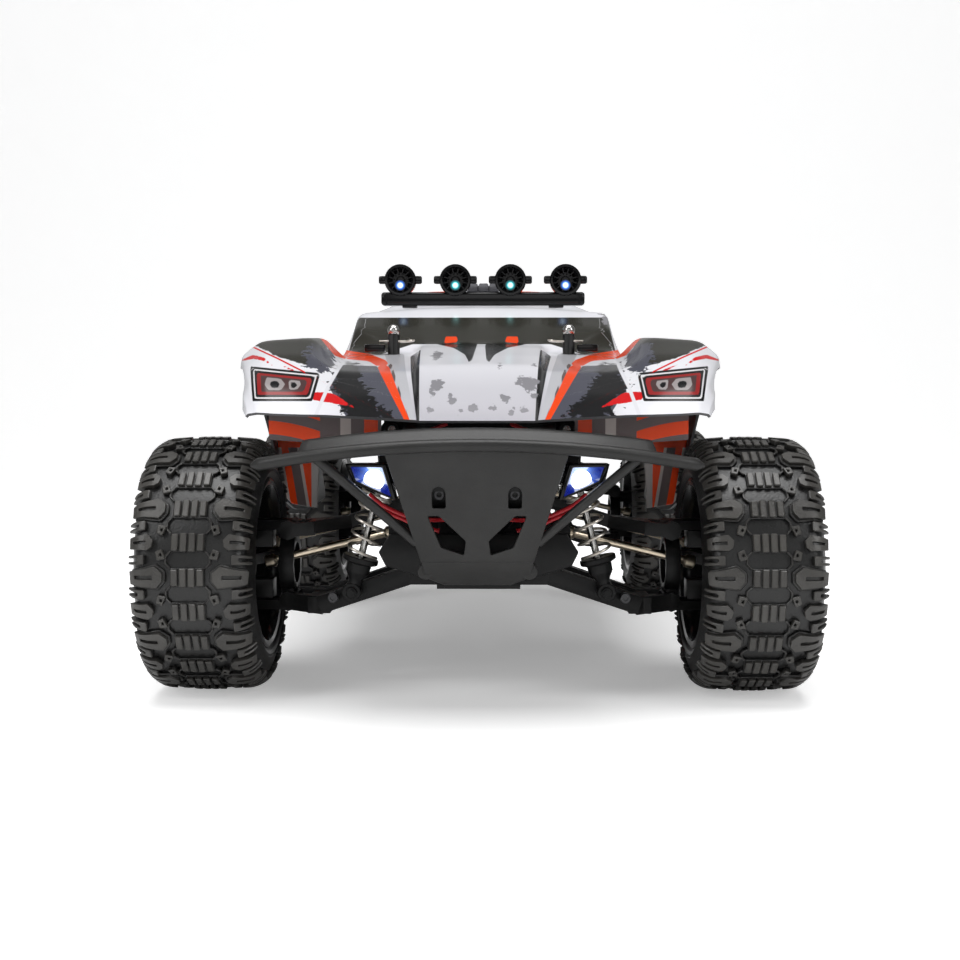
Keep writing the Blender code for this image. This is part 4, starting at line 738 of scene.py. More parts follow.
def inside(points, outline):
    outline = np.array(outline, float)
    after = np.roll(outline, -1, 0)
    best = np.full(len(points), 1e9)
    within = np.zeros(len(points), bool)
    for (ax, ay), (bx, by) in zip(outline, after):
        run = np.array((bx - ax, by - ay))
        offset = points - (ax, ay)
        t = np.clip(offset @ run / max(run @ run, 1e-9), 0, 1)
        best = np.minimum(best, np.linalg.norm(offset - t[:, None] * run, axis=1))
        crosses = (points[:, 1] < ay) != (points[:, 1] < by)
        slope = run[0] / (run[1] if abs(run[1]) > 1e-9 else 1e-9)
        within ^= crosses & (points[:, 0] < ax + (points[:, 1] - ay) * slope)
    return np.where(within, best, -best)


def nearLine(points, path):
    best = np.full(len(points), 1e9)
    sign = np.ones(len(points))
    for (ax, ay), (bx, by) in zip(path, path[1:]):
        run = np.array((bx - ax, by - ay))
        offset = points - (ax, ay)
        t = np.clip(offset @ run / (run @ run), 0, 1)
        reach = np.linalg.norm(offset - t[:, None] * run, axis=1)
        side = np.sign(run[0] * offset[:, 1] - run[1] * offset[:, 0])
        sign = np.where(reach < best, side, sign)
        best = np.minimum(best, reach)
    return best * np.where(sign < 0, -1, 1)


def nearSpots(points, spots):
    return np.max([r - np.hypot(points[:, 0] - x, points[:, 1] - z) for x, z, r in spots], axis=0)


# the front of the livery, with the painted hood shade and crease highlight, is drawn as (across, height) on a
# plane ahead of the eye, mirrored about the middle

orange, red, slate = (0.84, 0.062, 0.006), (0.62, 0.008, 0.01), (0.075, 0.077, 0.1)
ink, olive, paleGrey = (0.008, 0.008, 0.009), (0.035, 0.034, 0.028), (0.5, 0.5, 0.53)
brown, white, spotGrey = (0.12, 0.09, 0.085), (0.8, 0.8, 0.84), (0.25, 0.245, 0.265)
lampGrey = (0.33, 0.3, 0.3)
frontPaint = [
    # painted shade: the white hood front is painted grey, darker towards the bottom, in place of the shade on
    # that forward-facing panel
    ("hoodPaintedShade", (0.45, 0.44, 0.48), 0, [(-50, 139), (50, 139), (50, 90), (-50, 90)]),
    ("screen", olive, 0, [(-54, 167), (54, 167), (58, 152), (44, 151), (30, 155.5), (-30, 155.5), (-44, 151),
                          (-58, 152)]),
    ("hoodEdge", ink, 0, [(26, 153.2), (30.5, 150.2), (26.4, 122), (25.2, 122)]),
    ("paleStrip", paleGrey, 0, [(42, 151.5), (33.5, 151.5), (26.8, 122), (29.8, 122)]),
    ("brownStrip", brown, 0, [(40, 147), (38, 147), (29.3, 122), (30.6, 122)]),
    ("block", slate, 0, [(60.5, 146.6), (44.2, 146), (31, 122), (56, 122), (65, 137)]),
    ("blockDark", ink, 3.2, [(60.5, 146.6), (53, 147), (50, 139), (45, 131), (36, 122), (56, 122),
                             (65, 137)]),
    ("fenderTop", olive, 0.4, [(101, 156.5), (91, 162), (70, 162), (66, 153), (63, 146), (70, 145),
                               (87, 150)]),
    ("fenderSlate", slate, 2.6, [(64, 145), (63, 154), (74, 155), (76, 147), (70, 143)]),
    ("stripe", orange, 0, [(44.6, 146.2), (39.6, 146.6), (29.2, 122), (31.4, 122)]),
    ("hoodBand", orange, 0, [(63, 153.8), (57, 152.6), (48, 151.2), (40.6, 148.4), (39.6, 146.4), (44.6, 146),
                             (48.4, 148.2), (59.8, 149.2)]),
    ("fenderBand", orange, 0, [(72, 161), (66, 160), (62, 153.8), (59.5, 149.2), (63.2, 150.6), (66, 153.8)]),
    ("wedge", red, 0.3, [(71.5, 135), (63, 134.4), (53.4, 128), (65.7, 130.3), (72, 131.6)]),
    ("stroke", red, 0, [(107, 147.5), (98.4, 151), (93.5, 149.8), (88.6, 145.6), (94, 148.4), (98.4, 149.2)]),
    ("tail", red, 0, [(88, 147.4), (81, 144.8), (70, 138), (79, 142.6)]),
    ("lampFrame", ink, 0, [(99.6, 146), (68.8, 143), (72, 130.8), (98.2, 130.8)]),
    ("lampFill", (0.3, 0.02, 0.02), 0, [(96.6, 143.2), (72.2, 140.8), (74.2, 133.6), (96, 133.6)]),
    ("lampCore", (0.075, 0.04, 0.04), 0, [(94.8, 142.1), (74.2, 140), (75.9, 134.9), (94.4, 134.9)]),
    ("lampGlint", lampGrey, 0, [(92.2, 141.2), (86, 140.6), (84, 138.2), (85.8, 135.6), (91.4, 135.7),
                                (93, 138)]),
    ("lampShine", lampGrey, 0, [(82.6, 140.2), (77.6, 139.6), (77.2, 138), (78.8, 135.8), (82.2, 135.8)]),
    ("lampPupil", ink, 0, [(90.2, 139.4), (87.8, 139.8), (86.4, 138.3), (87.2, 136.6), (89.6, 136.5),
                           (90.7, 138)]),
    ("lampDot", ink, 0, [(81.6, 139), (79.6, 139), (78.7, 137.7), (79.8, 136.5), (81.5, 136.7)]),
    ("chevron", ink, 0, [(20, 155.6), (1.6, 155.8), (3.6, 146.4), (6.4, 151), (12, 154)]),
    ("hoodPatch", orange, 0, [(15.6, 158.8), (10.8, 158.8), (10.2, 156.4), (16.2, 155.8)]),
    ("roofTip", red, 0.6, [(56, 173), (45, 172.6), (47, 170.2), (57, 170.2)]),
]
frontLines = [
    # painted highlight: a pale line along the crease between the nose block and the fender
    ("paintedCreaseHighlight", (0.74, 0.74, 0.78), 1.5, [(59.8, 147.4), (65.4, 137), (71.6, 122)]),
    ("redLine", red, 0.7, [(101, 155.4), (88, 149.6), (76, 143.6)]),
    ("lampLine", (0.75, 0.74, 0.76), 0.6, [(98, 144.6), (70.6, 141.9), (73.2, 132.2), (97, 132.2),
                                           (98, 144.6)]),
]
frontSpots = [(22.5, 138, 3.6), (18.5, 140, 2), (24, 133, 1.4), (11.8, 131.7, 2), (6.4, 128, 1.3),
              (-1.6, 128.4, 1.3), (-11.5, 131.5, 2), (-18, 138, 2.8), (-20, 134, 1.2), (-18.6, 150.6, 2),
              (24, 147, 0.8), (15, 126, 1), (-8, 126, 1.1), (-21, 127, 1.4), (20.5, 126.5, 1.3),
              (9, 146, 0.6), (54, 166, 2.2), (52, 170, 1.6)]
planPaint = [
    ("topFender", olive, 0.4, [(76, -155), (97, -155), (99, -90), (86, -52), (74, -75)]),
    ("topBand", orange, 0, [(66, -150), (74, -150), (72, -84), (78, -40), (74, -40), (64, -84)]),
    ("roofPatch", orange, 0, [(16, 2), (39, 2), (36, 52), (14, 52)]),
    ("rearGlass", olive, 0, [(-10, 58), (50, 58), (56, 72), (-10, 72)]),
    ("bed", slate, 1.5, [(-10, 82), (56, 82), (60, 198), (-10, 198)]),
    ("rearFender", olive, 0.4, [(80, 96), (97, 96), (99, 190), (84, 196)]),
    ("rearBand", orange, 0, [(66, 80), (74, 80), (80, 120), (80, 200), (72, 200), (70, 120)]),
]
sidePaint = [
    ("sideGlass", olive, 0, [(-50, 157), (-27, 175), (20, 176), (50, 174), (60, 157)]),
    ("sideBand", orange, 0, [(-86, 132), (-20, 128), (60, 131), (96, 146), (96, 152), (58, 140), (-20, 137),
                             (-86, 140)]),
    ("sideDark", slate, 1.8, [(-90, 70), (-84, 118), (-20, 121), (70, 122), (96, 128), (92, 70)]),
    ("sideInk", ink, 2.4, [(-90, 70), (-40, 96), (30, 90), (92, 104), (92, 70)]),
    ("sideSlash", red, 0, [(-60, 126), (-20, 104), (0, 78), (8, 78), (-10, 108), (-40, 127)]),
]
smoke, pale = (0.13, 0.1, 0.1), (0.48, 0.42, 0.4)
# the painted hood shade gets a wide soft edge, so it fades as a gradient
softEdges = dict(hoodPaintedShade=15)
paintSizes = dict(edge=0.12, ragScale=240, ragDetail=5, ragRoughness=0.65, rag=6, facingSteep=60, frontTo=-18,
                  frontShare=0.5, topFacing=0.3, sideFacing=0.36, sideSteep=12)
bandSizes = dict(middle=94.0, bend=6.0, perMetre=100.0, inner=0.21, outer=0.23, stripeEdge=0.15)
panelStripes = [(0, smoke), (67.5, pale), (70, orange), (75.5, pale), (77, smoke), (81.5, orange), (85, pale)]
valanceStripes = [(0, smoke), (41.4, orange), (47.2, smoke), (52.8, pale), (57.3, smoke)]


def paintNames():
    names = [(name, colour, rough, 0) for name, colour, rough, _ in planPaint + sidePaint + frontPaint]
    names += [(name, colour, 0, width) for name, colour, width, _ in frontLines]
    return names + [("spots", spotGrey, 1.3, 0)]


def addPaint(mesh):
    count = len(mesh.vertices)
    place = np.empty(count * 3)
    facing = np.empty(count * 3)
    mesh.vertices.foreach_get("co", place)
    mesh.vertex_normals.foreach_get("vector", facing)
    place = place.reshape(-1, 3) / mm
    facing = facing.reshape(-1, 3)
    ray = np.array((eye["x"], eye["y"], eye["z"])) - place
    seen = (facing * ray).sum(1) / np.linalg.norm(ray, axis=1)
    depth = eye["plane"] / (place[:, 1] - eye["y"])
    front = np.stack([place[:, 0] * depth, eye["z"] + (place[:, 2] - eye["z"]) * depth], -1)
    mirrored = np.stack([np.abs(front[:, 0]), front[:, 1]], -1)
    plan = np.stack([np.abs(place[:, 0]), place[:, 1]], -1)
    aside = place[:, 1:]
    size = paintSizes
    ahead = np.minimum(seen * size["facingSteep"] - 1, (size["frontTo"] - place[:, 1]) * size["frontShare"])
    above = np.minimum(-ahead, (facing[:, 2] - size["topFacing"]) * size["sideSteep"])
    beside = np.minimum(-ahead, (size["sideFacing"] - facing[:, 2]) * size["sideSteep"])
    fields = {}
    tables = ((planPaint, plan, above), (sidePaint, aside, beside), (frontPaint, mirrored, ahead))
    for table, flat, limit in tables:
        for name, _, _, shape in table:
            fields[name] = np.minimum(inside(flat, shape), limit)
    for name, _, _, path in frontLines:
        fields[name] = np.where(ahead > 0, nearLine(mirrored, path), 99)
    fields["spots"] = np.minimum(nearSpots(front, frontSpots), ahead)
    for name, values in fields.items():
        store = mesh.attributes.new(name, "FLOAT", "POINT")
        store.data.foreach_set("value", values.astype(np.float32))


def shellPaint():
    material, tree, shader, coords = newMaterial("shellPaint")
    setShader(shader, roughness=0.2, specular=0.28)
    size = paintSizes
    cloud = noise(tree, coords, size["ragScale"], size["ragDetail"], size["ragRoughness"])
    ragged = mathNode(tree, "SUBTRACT", cloud, 0.5)
    base = white
    for name, colour, rough, width in paintNames():
        field = addNode(tree, "ShaderNodeAttribute", attribute_name=name).outputs["Fac"]
        if width:
            field = mathNode(tree, "SUBTRACT", width / 2, mathNode(tree, "ABSOLUTE", field))
        if rough:
            field = mathNode(tree, "ADD", field, mathNode(tree, "MULTIPLY", ragged, rough * size["rag"]))
        edge = softEdges.get(name, size["edge"])
        base = mixColour(tree, ramp(tree, field, -edge, edge), base, colour)
    tree.links.new(base, shader.inputs["Base Color"])
    return material


def striped(tree, value, stripes):
    base = stripes[0][1]
    soft = bandSizes["stripeEdge"]
    for edge, colour in stripes[1:]:
        base = mixColour(tree, ramp(tree, value, (edge - soft) * mm, (edge + soft) * mm), base, colour)
    return base


def curvedBands(tree, across, height):
    size = bandSizes
    bend = mathNode(tree, "POWER", mathNode(tree, "SUBTRACT", size["middle"] * mm, across), 2.0)
    path = mathNode(tree, "ADD", height, mathNode(tree, "MULTIPLY", bend, size["bend"]))
    wave = mathNode(tree, "FRACT", mathNode(tree, "MULTIPLY", path, size["perMetre"]))
    offset = mathNode(tree, "ABSOLUTE", mathNode(tree, "SUBTRACT", wave, 0.5))
    band = ramp(tree, offset, size["inner"], size["outer"])
    return mixColour(tree, band, smoke, orange)


def panelPaint():
    material, tree, shader, coords = newMaterial("panelPaint")
    setShader(shader, roughness=0.25, coat=0.3)
    split = addNode(tree, "ShaderNodeSeparateXYZ")
    tree.links.new(coords, split.inputs[0])
    across = mathNode(tree, "ABSOLUTE", split.outputs[0])
    base = curvedBands(tree, across, split.outputs[2])
    size = panelSizes
    lean = mathNode(tree, "MULTIPLY_ADD", split.outputs[2], size["lean"], across)
    low = striped(tree, lean, panelStripes)
    above = ramp(tree, split.outputs[2], size["bandLow"] * mm, size["bandHigh"] * mm)
    base = mixColour(tree, above, low, base)
    margin = ramp(tree, across, size["marginLow"] * mm, size["marginHigh"] * mm, 1, 0)
    base = mixColour(tree, margin, base, (0.45, 0.42, 0.41))
    tree.links.new(base, shader.inputs["Base Color"])
    return material


def valancePaint():
    material, tree, shader, coords = newMaterial("valancePaint")
    setShader(shader, roughness=0.2, coat=0.4)
    split = addNode(tree, "ShaderNodeSeparateXYZ")
    tree.links.new(coords, split.inputs[0])
    across = mathNode(tree, "ABSOLUTE", split.outputs[0])
    inner = striped(tree, across, valanceStripes)
    outer = curvedBands(tree, across, split.outputs[2])
    edge = ramp(tree, across, valanceSizes["bandLow"] * mm, valanceSizes["bandHigh"] * mm)
    tree.links.new(mixColour(tree, edge, inner, outer), shader.inputs["Base Color"])
    return material


def clipped(points, faces, keep):
    points = list(points)
    crossings = {}
    kept = []
    for face in faces:
        loop = []
        for a, b in zip(face, face[1:] + face[:1]):
            if keep[a] >= 0:
                loop.append(a)
            if (keep[a] < 0) != (keep[b] < 0):
                key = (min(a, b), max(a, b))
                if key not in crossings:
                    crossings[key] = len(points)
                    points.append(points[a] + (points[b] - points[a]) * (keep[a] / (keep[a] - keep[b])))
                loop.append(crossings[key])
        if len(loop) > 2:
            kept.append(tuple(loop))
    return np.array(points), kept


def shellMesh():
    size = shellSizes
    grid = shellGrid()
    rows, columns = grid.shape[:2]
    points = grid.reshape(-1, 3)
    faces = gridFaces(rows, columns)
    reach = np.hypot(np.abs(points[:, 1]) - size["archY"], points[:, 2] - size["archZ"])
    keep = np.maximum(reach - size["archRadius"], size["archInside"] - np.abs(points[:, 0]))
    points, faces = clipped(points, faces, keep)
    for x, y, _ in posts:
        reach = np.hypot(np.abs(points[:, 0]) - x, points[:, 1] - y)
        points, faces = clipped(points, faces, reach - size["postHole"])
    mesh = bpy.data.meshes.new("skin")
    mesh.from_pydata(points * mm, [], faces)
    shape = bmesh.new()
    shape.from_mesh(mesh)
    loose = [v for v in shape.verts if not v.link_faces]
    bmesh.ops.delete(shape, geom=loose, context="VERTS")
    bmesh.ops.remove_doubles(shape, verts=shape.verts, dist=1e-6)
    shape.to_mesh(mesh)
    shape.free()
    addPaint(mesh)
    mesh.materials.append(shellPaint())
    mesh.materials.append(plain("shellInside", (0.1, 0.1, 0.105), 0.4))
    return withModifiers(mesh, ("SOLIDIFY", dict(thickness=size["wall"] * mm, offset=-1, material_offset=1,
                                                 material_offset_rim=1)))


shellShape = shellMesh()
pieceFrom("body_shell_look", shellShape, None, "chassis", "body_shell", 40)
panelSizes = dict(near=-71.5, far=-69.9, lean=-0.16, bandLow=107.6, bandHigh=108.2, marginLow=86.8,
                  marginHigh=87.2)
panelOutline = [(84, 77), (97, 79), (101.6, 84), (105, 118), (104, 130), (82, 122)]


def panelMesh(sign):
    outline = [(sign * u * mm, v * mm) for u, v in panelOutline]
    return slab(outline, lambda u, v, d: Vector((u, d, v)), panelSizes["near"] * mm, panelSizes["far"] * mm,
                0.3 * mm, 1)


panels = joined([panelMesh(-1), panelMesh(1)])
pieceFrom("skirt_panels", panels, panelPaint(), "chassis", None)
valanceOutline = [(40.0, 111.5), (88.0, 114.5), (88.0, 125.0), (40.0, 123.0)]
valanceSizes = dict(outer=88.0, front=-196.0, sweep=9.0, thick=1.0, bandLow=65.8, bandHigh=66.2)


def valanceMesh(sign):
    size = valanceSizes

    def place(u, v, d):
        return Vector((sign * u, size["front"] + size["sweep"] * (u / size["outer"]) ** 2 + d, v)) * mm

    return slab(valanceOutline, place, 0, size["thick"], 0.2 * mm, 1)


valance = joined([valanceMesh(-1), valanceMesh(1)])
pieceFrom("front_valance", valance, valancePaint(), "chassis", None)
print("stage 4: body shell,", len(shellShape.polygons), "faces")


# small shared shapes

def mirroredOutline(half):
    return list(half) + [(-u, v) for u, v in reversed(half)]


def screw(place, direction, radius, height=1.3):
    profile = [(-1, radius), (height * 0.7, radius), (height, radius * 0.82), (height, radius * 0.5),
               (height * 0.3, radius * 0.46)]
    return turned(Vector(place) * mm, direction, inMetres(profile), 18)


def rodBetween(start, end, radius, sides=16):
    start, end = Vector(start) * mm, Vector(end) * mm
    length = (end - start).length
    lip = min(radius * 0.25, 0.4) * mm
    full, less = radius * mm, radius * mm - lip
    return turned(start, end - start, [(0, less), (lip, full), (length - lip, full), (length, less)], sides)


# front bumper: a swept bar with a lip, a leaning skid plate and two struts

bumperSizes = dict(half=90.0, radius=2.6, height=113.3, droop=8.5, sweep=14.0, front=232.0,
                   lipShare=0.8, lipTaper=0.97, lipThick=1.6, plate=4.0, lean=26.0, low=55.0, fold=65.0,
                   foldLean=0.25, strut=2.0, strutX=64.8, strutFootX=24.5, strutFootZ=73.5, pegX=21.2,
                   pegZ=61.0, peg=3.4, screwX=15.1, screwZ=93.2, screw=2.3, footLow=(-16, -199, 57),
                   footHigh=(16, -170, 62))
lipProfile = [(1.6, 0.2), (3.2, 1.0), (5.0, 2.6), (6.6, 4.6), (8.0, 5.7), (11.0, 6.0), (18.0, 5.6)]
plateUpper = [(36.8, 113.0), (22.8, 65.0)]
plateLower = [(22.8, 65.2), (21.8, 58.6), (19.2, 57.3), (13.6, 55.0)]
plateSlot = [(12.4, 88), (17.8, 88), (17.8, 94.3), (17.1, 96.1), (15.1, 97), (13.1, 96.1), (12.4, 94.3)]
plateWindow = [(4.6, 74.3), (5.4, 68.3), (14.6, 71.5), (19.8, 84.7), (15.3, 84.9)]
plateBack = [(11, 86), (19.5, 86), (19.5, 98.5), (11, 98.5)]


def barPlace(x):
    size = bumperSizes
    share = (x / size["half"]) ** 2
    back = size["radius"] - size["front"] + size["sweep"] * share
    return Vector((x, back, size["height"] - size["droop"] * share)) * mm


def plateY(z):
    size = bumperSizes
    below = max(0, size["fold"] - z) * size["foldLean"]
    slope = size["lean"] * (size["height"] - z) / (size["height"] - size["low"])
    return size["radius"] - size["front"] + slope + below


def platePlace(u, v, d):
    return Vector((u, plateY(v) + d, v)) * mm


def bumperLip():
    size = bumperSizes
    across = np.linspace(-1, 1, 41) * size["half"] * size["lipShare"]
    points = []
    for back, up in lipProfile:
        inset = 1 - (1 - size["lipTaper"]) * up / lipProfile[-1][1]
        points += [barPlace(x * inset) + Vector((0, back, up)) * mm for x in across]
    n = len(across)
    return withModifiers(meshFrom(points, gridFaces(len(lipProfile), n), False),
                         ("SOLIDIFY", dict(thickness=size["lipThick"] * mm, offset=0)),
                         ("BEVEL", dict(width=0.4 * mm, segments=2, limit_method="ANGLE")))


def bumperMesh():
    size = bumperSizes
    thick = size["plate"] / 2
    reach = np.linspace(-1, 1, 61)
    bar = tubeAlong([barPlace(x * size["half"]) for x in reach], size["radius"] * mm, 18,
                    [min(1, 0.35 + (1 - abs(x)) * 22) for x in reach])
    upper = slab(mirroredOutline(plateUpper), platePlace, 0, 2 * thick)
    tools = []
    for sign in (-1, 1):
        for shape in (plateSlot, plateWindow):
            tools.append(slab([(sign * u, v) for u, v in shape], platePlace, -12, 12, 0.7 * mm, 3))
    parts = [bar, bumperLip(), rounded(carved(upper, tools), 0.5 * mm, 2, 40),
             slab(mirroredOutline(plateLower), platePlace, 0, 2 * thick, 0.6 * mm)]
    for sign in (-1, 1):
        foot = platePlace(sign * size["strutFootX"], size["strutFootZ"], thick)
        head = barPlace(sign * size["strutX"])
        knee = head.lerp(foot, 0.06) + Vector((0, 2, 0)) * mm
        parts.append(tubeAlong(bowed([head, knee, head.lerp(foot, 0.5) + Vector((0, 1, 0)) * mm, foot], 6),
                               size["strut"] * mm, 14))
        x, y, z = sign * size["pegX"], plateY(size["pegZ"]), size["pegZ"]
        parts.append(rodBetween((x, y + 1, z), (x, y + 9, z), size["peg"]))
    parts.append(box(size["footLow"], size["footHigh"], 1))
    return joined(parts)


pieceFrom("front_bumper_look", bumperMesh(), paints["bumper"], "chassis", "front_bumper")
plateScrews = [screw((sign * bumperSizes["screwX"], plateY(93) + 5.2, bumperSizes["screwZ"]), (0, -1, 0),
                     bumperSizes["screw"]) for sign in (-1, 1)]
plateBacks = [slab([(sign * u, v) for u, v in plateBack], platePlace, 4.6, 6) for sign in (-1, 1)]
pieceFrom("plate_screws", joined(plateScrews), paints["screw"], "chassis", None)
pieceFrom("plate_backs", joined(plateBacks), paints["arm"], "chassis")


# headlamps: black bezel, blue reflector with the lamp's light painted on as a glow, white lamp disc

lampOutline = [(36.6, 105.3), (53.4, 105.3), (51.5, 97.8), (33.0, 90.3)]
lampSizes = dict(front=-208.0, depth=12.0, rim=2.55, recess=6.0, deep=6.0, bulbX=42.0, bulbZ=98.6, bulbAt=3.4,
                 bulb=4.3, sides=28, glowRise=2.4, glowNear=2.5, glowFar=9.0)
lampArms = [((14, -200, 97), (40, -197, 102)), ((21, -219, 97.5), (26, -198, 101.5))]


def lampInset(outline, amount):
    centre = Vector(np.mean(outline, 0))
    return [tuple(Vector(p) + (centre - Vector(p)).normalized() * amount) for p in outline]


def lampPlace(u, v, d):
    return Vector((u, lampSizes["front"] + d, v)) * mm


def lampMeshes(sign):
    size = lampSizes
    outer = [(sign * u, v) for u, v in lampOutline]
    inner = lampInset(outer, size["rim"])
    deep = lampInset(outer, size["deep"])
    recess = size["recess"]
    housing = lofted([(outer, size["depth"]), (outer, 0), (inner, 0), (inner, recess)], lampPlace)
    arms = [box((sign * low[0], *low[1:]), (sign * high[0], *high[1:])) for low, high in lampArms]
    bowl = lofted([(deep, recess - 0.8), (inner, 0.5), (inner, 0.9), (deep, recess - 0.4)], lampPlace)
    r = size["bulb"]
    profile = [(0, r), (1.4, r * 0.94), (2.2, r * 0.6), (2.5, 0.4)]
    seat = lampPlace(sign * size["bulbX"], size["bulbZ"], size["bulbAt"])
    bulb = turned(seat, (0, -1, 0), inMetres(profile), size["sides"])
    return joined([rounded(housing, 0.35 * mm)] + arms), bowl, bulb


def reflectorPaintedGlow():
    material, tree, shader, coords = newMaterial("lampReflector")
    setShader(shader, roughness=0.12, colour=(0.01, 0.02, 0.16), coat=0.5)
    split = addNode(tree, "ShaderNodeSeparateXYZ")
    tree.links.new(coords, split.inputs[0])
    across = mathNode(tree, "SUBTRACT", mathNode(tree, "ABSOLUTE", split.outputs[0]), lampSizes["bulbX"] * mm)
    rise = mathNode(tree, "SUBTRACT", split.outputs[2], (lampSizes["bulbZ"] + lampSizes["glowRise"]) * mm)
    reach = mathNode(tree, "SQRT", mathNode(tree, "ADD", mathNode(tree, "MULTIPLY", across, across),
                                            mathNode(tree, "MULTIPLY", rise, rise)))
    # painted glow: the reflector is given emission that is brightest near the bulb, in place of light from
    # the lamp
    near = ramp(tree, reach, lampSizes["glowNear"] * mm, lampSizes["glowFar"] * mm, 1, 0)
    glow = mixColour(tree, mathNode(tree, "POWER", near, 2.6), (0.002, 0.006, 0.13), (0.2, 0.4, 1.0))
    tree.links.new(glow, shader.inputs["Emission Color"])
    shader.inputs["Emission Strength"].default_value = 0.9
    return material


lampBluePaintedGlow = reflectorPaintedGlow()
lampWhite = glowing("lampWhite", (0.86, 0.93, 1.0), 3.0)
for side, sign in (("left", 1), ("right", -1)):
    housing, bowl, bulb = lampMeshes(sign)
    name = side + "_headlamp"
    pieceFrom(name + "_look", housing, paints["gloss"], "chassis", name)
    pieceFrom(name + "_reflector", bowl, lampBluePaintedGlow, "chassis", None)
    pieceFrom(name + "_bulb", bulb, lampWhite, "chassis", None)


# roof light bar: glossy bar on two feet, four louvred lamps with side ears, and the roof scoop behind it

lightBarSizes = dict(half=55.5, y=-18.0, deep=4.0, low=184.0, high=191.2, pods=4, spacing=30.0, podRadius=8.6,
                     podZ=197.6, podDepth=10.0, louvres=12, louvreTurn=0.26, ear=3.2, glow=3.0, glowX=-1.4,
                     glowZ=-2.8, stem=3.0, footX=40.0, footHalf=4.0, footDeep=3.0, footLow=182.8,
                     capInset=3.4, capWide=0.8)


def podMesh():
    size = lightBarSizes
    r = size["podRadius"]
    ring = ringProfile([(-4.6, 0.6), (-4.6, 4.4), (-1.6, r - 2.3), (-0.9, r - 1.7), (0, r - 1.5),
                        (0.1, r - 0.5), (-0.6, r), (-5, r), (-8, r - 1.6), (-9.8, r - 4.4)], 40, False)
    louvre = box((-4.4, -0.42, 3.6), (-1.5, 0.42, 6.5), 0.2, 1)
    fins = repeated(louvre, ringGroup, Count=size["louvres"], Turn=size["louvreTurn"], Paint=paints["gloss"])
    centre = ringProfile([(-4.5, 2.6), (-2.6, 2.2), (-2.2, 1.6), (-2.2, 0.4)], 20, False)
    ear = box((-3.9, -(r + size["ear"]), -2), (-1.2, r + size["ear"], 2.4), 1.1, 3)
    earHole = carved(ear, [ringProfile([(-6, r - 1), (2, r - 1)], 24, False)])
    return joined([ring, fins, centre, earHole])


def glowDisc(radius):
    rings, sides = 6, 24
    points = [(0, 0, 0)]
    faces = [(0, 1 + k, 1 + (k + 1) % sides) for k in range(sides)]
    for i in range(1, rings + 1):
        for k in range(sides):
            a = 2 * math.pi * k / sides
            points.append((0, radius * i / rings * math.sin(a) * mm, radius * i / rings * math.cos(a) * mm))
    for start in range(1, 1 + (rings - 1) * sides, sides):
        far = start + sides
        for k in range(sides):
            n = (k + 1) % sides
            faces.append((start + k, far + k, far + n, start + n))
    mesh = bpy.data.meshes.new("glow")
    mesh.from_pydata(points, [], faces)
    store = mesh.attributes.new("glow", "FLOAT", "POINT")
    store.data.foreach_set("value", [1 - Vector(p).length / (radius * mm) for p in points])
    return withModifiers(mesh, ("SOLIDIFY", dict(thickness=0.3 * mm, offset=-1)))


def glowPaint(name, rim, core):
    material, tree, shader, _ = newMaterial(name)
    setShader(shader, roughness=0.3, colour=(0.01, 0.01, 0.012))
    field = addNode(tree, "ShaderNodeAttribute", attribute_name="glow").outputs["Fac"]
    tree.links.new(mixColour(tree, ramp(tree, field, 0.35, 0.75), rim, core), shader.inputs["Emission Color"])
    strength = mathNode(tree, "MULTIPLY", mathNode(tree, "POWER", field, 1.6), 5.0)
    tree.links.new(strength, shader.inputs["Emission Strength"])
    return material


def lightBar():
    size = lightBarSizes
    y, deep, low, high = size["y"], size["deep"], size["low"], size["high"]
    half, footDeep = size["footHalf"], size["footDeep"]
    parts = [box((-size["half"], y - deep, low), (size["half"], y + deep, high), 1.6, 4)]
    for sign in (-1, 1):
        x = sign * size["footX"]
        parts.append(box((x - half, y - footDeep, size["footLow"]), (x + half, y + footDeep, low + 1), 0.4))
        cap = sign * (size["half"] - size["capInset"])
        capEnd = cap + sign * size["capWide"]
        parts.append(box((cap, y - deep - 0.25, low + 0.3), (capEnd, y + deep, high - 0.3), 0.2, 1))
    return parts


podShape = podMesh()
podTurn = Matrix.Rotation(-math.pi / 2, 4, "Z")
barParts = lightBar()
glows = {"outer": [], "inner": []}
for i in range(lightBarSizes["pods"]):
    size = lightBarSizes
    x = (i - (size["pods"] - 1) / 2) * size["spacing"]
    place = Matrix.Translation(Vector((x, size["y"] - size["podDepth"] / 2, size["podZ"])) * mm) @ podTurn
    barParts.append(moved(podShape, place))
    stemTop = size["podZ"] - size["podRadius"] + 3
    barParts.append(rodBetween((x, size["y"], size["high"] - 1), (x, size["y"], stemTop), size["stem"]))
    low = Matrix.Translation((size["glowX"] * mm, 0, size["glowZ"] * mm))
    row = "outer" if i in (0, size["pods"] - 1) else "inner"
    glows[row].append(moved(glowDisc(size["glow"]), place @ low))
pieceFrom("roof_light_bar_look", joined(barParts), paints["gloss"], "chassis", "roof_light_bar")
blueGlow = glowPaint("blueGlow", (0.03, 0.2, 0.9), (0.7, 0.9, 1.0))
pieceFrom("outer_lamp_glow", joined(glows["outer"]), blueGlow, "chassis", None)
tealGlow = glowPaint("tealGlow", (0.0, 0.34, 0.4), (0.5, 1.0, 0.95))
pieceFrom("inner_lamp_glow", joined(glows["inner"]), tealGlow, "chassis", None)

scoopSizes = dict(half=16.0, front=8.0, back=40.0, low=194.4, high=199.6, floorLow=193.0, floorHigh=197.6,
                  floorFront=10.0, floorBack=38.0)
scoopSide = [(0, 0), (0, 0.55), (0.12, 0.9), (0.3, 1), (0.85, 0.95), (1, 0.3), (1, 0)]


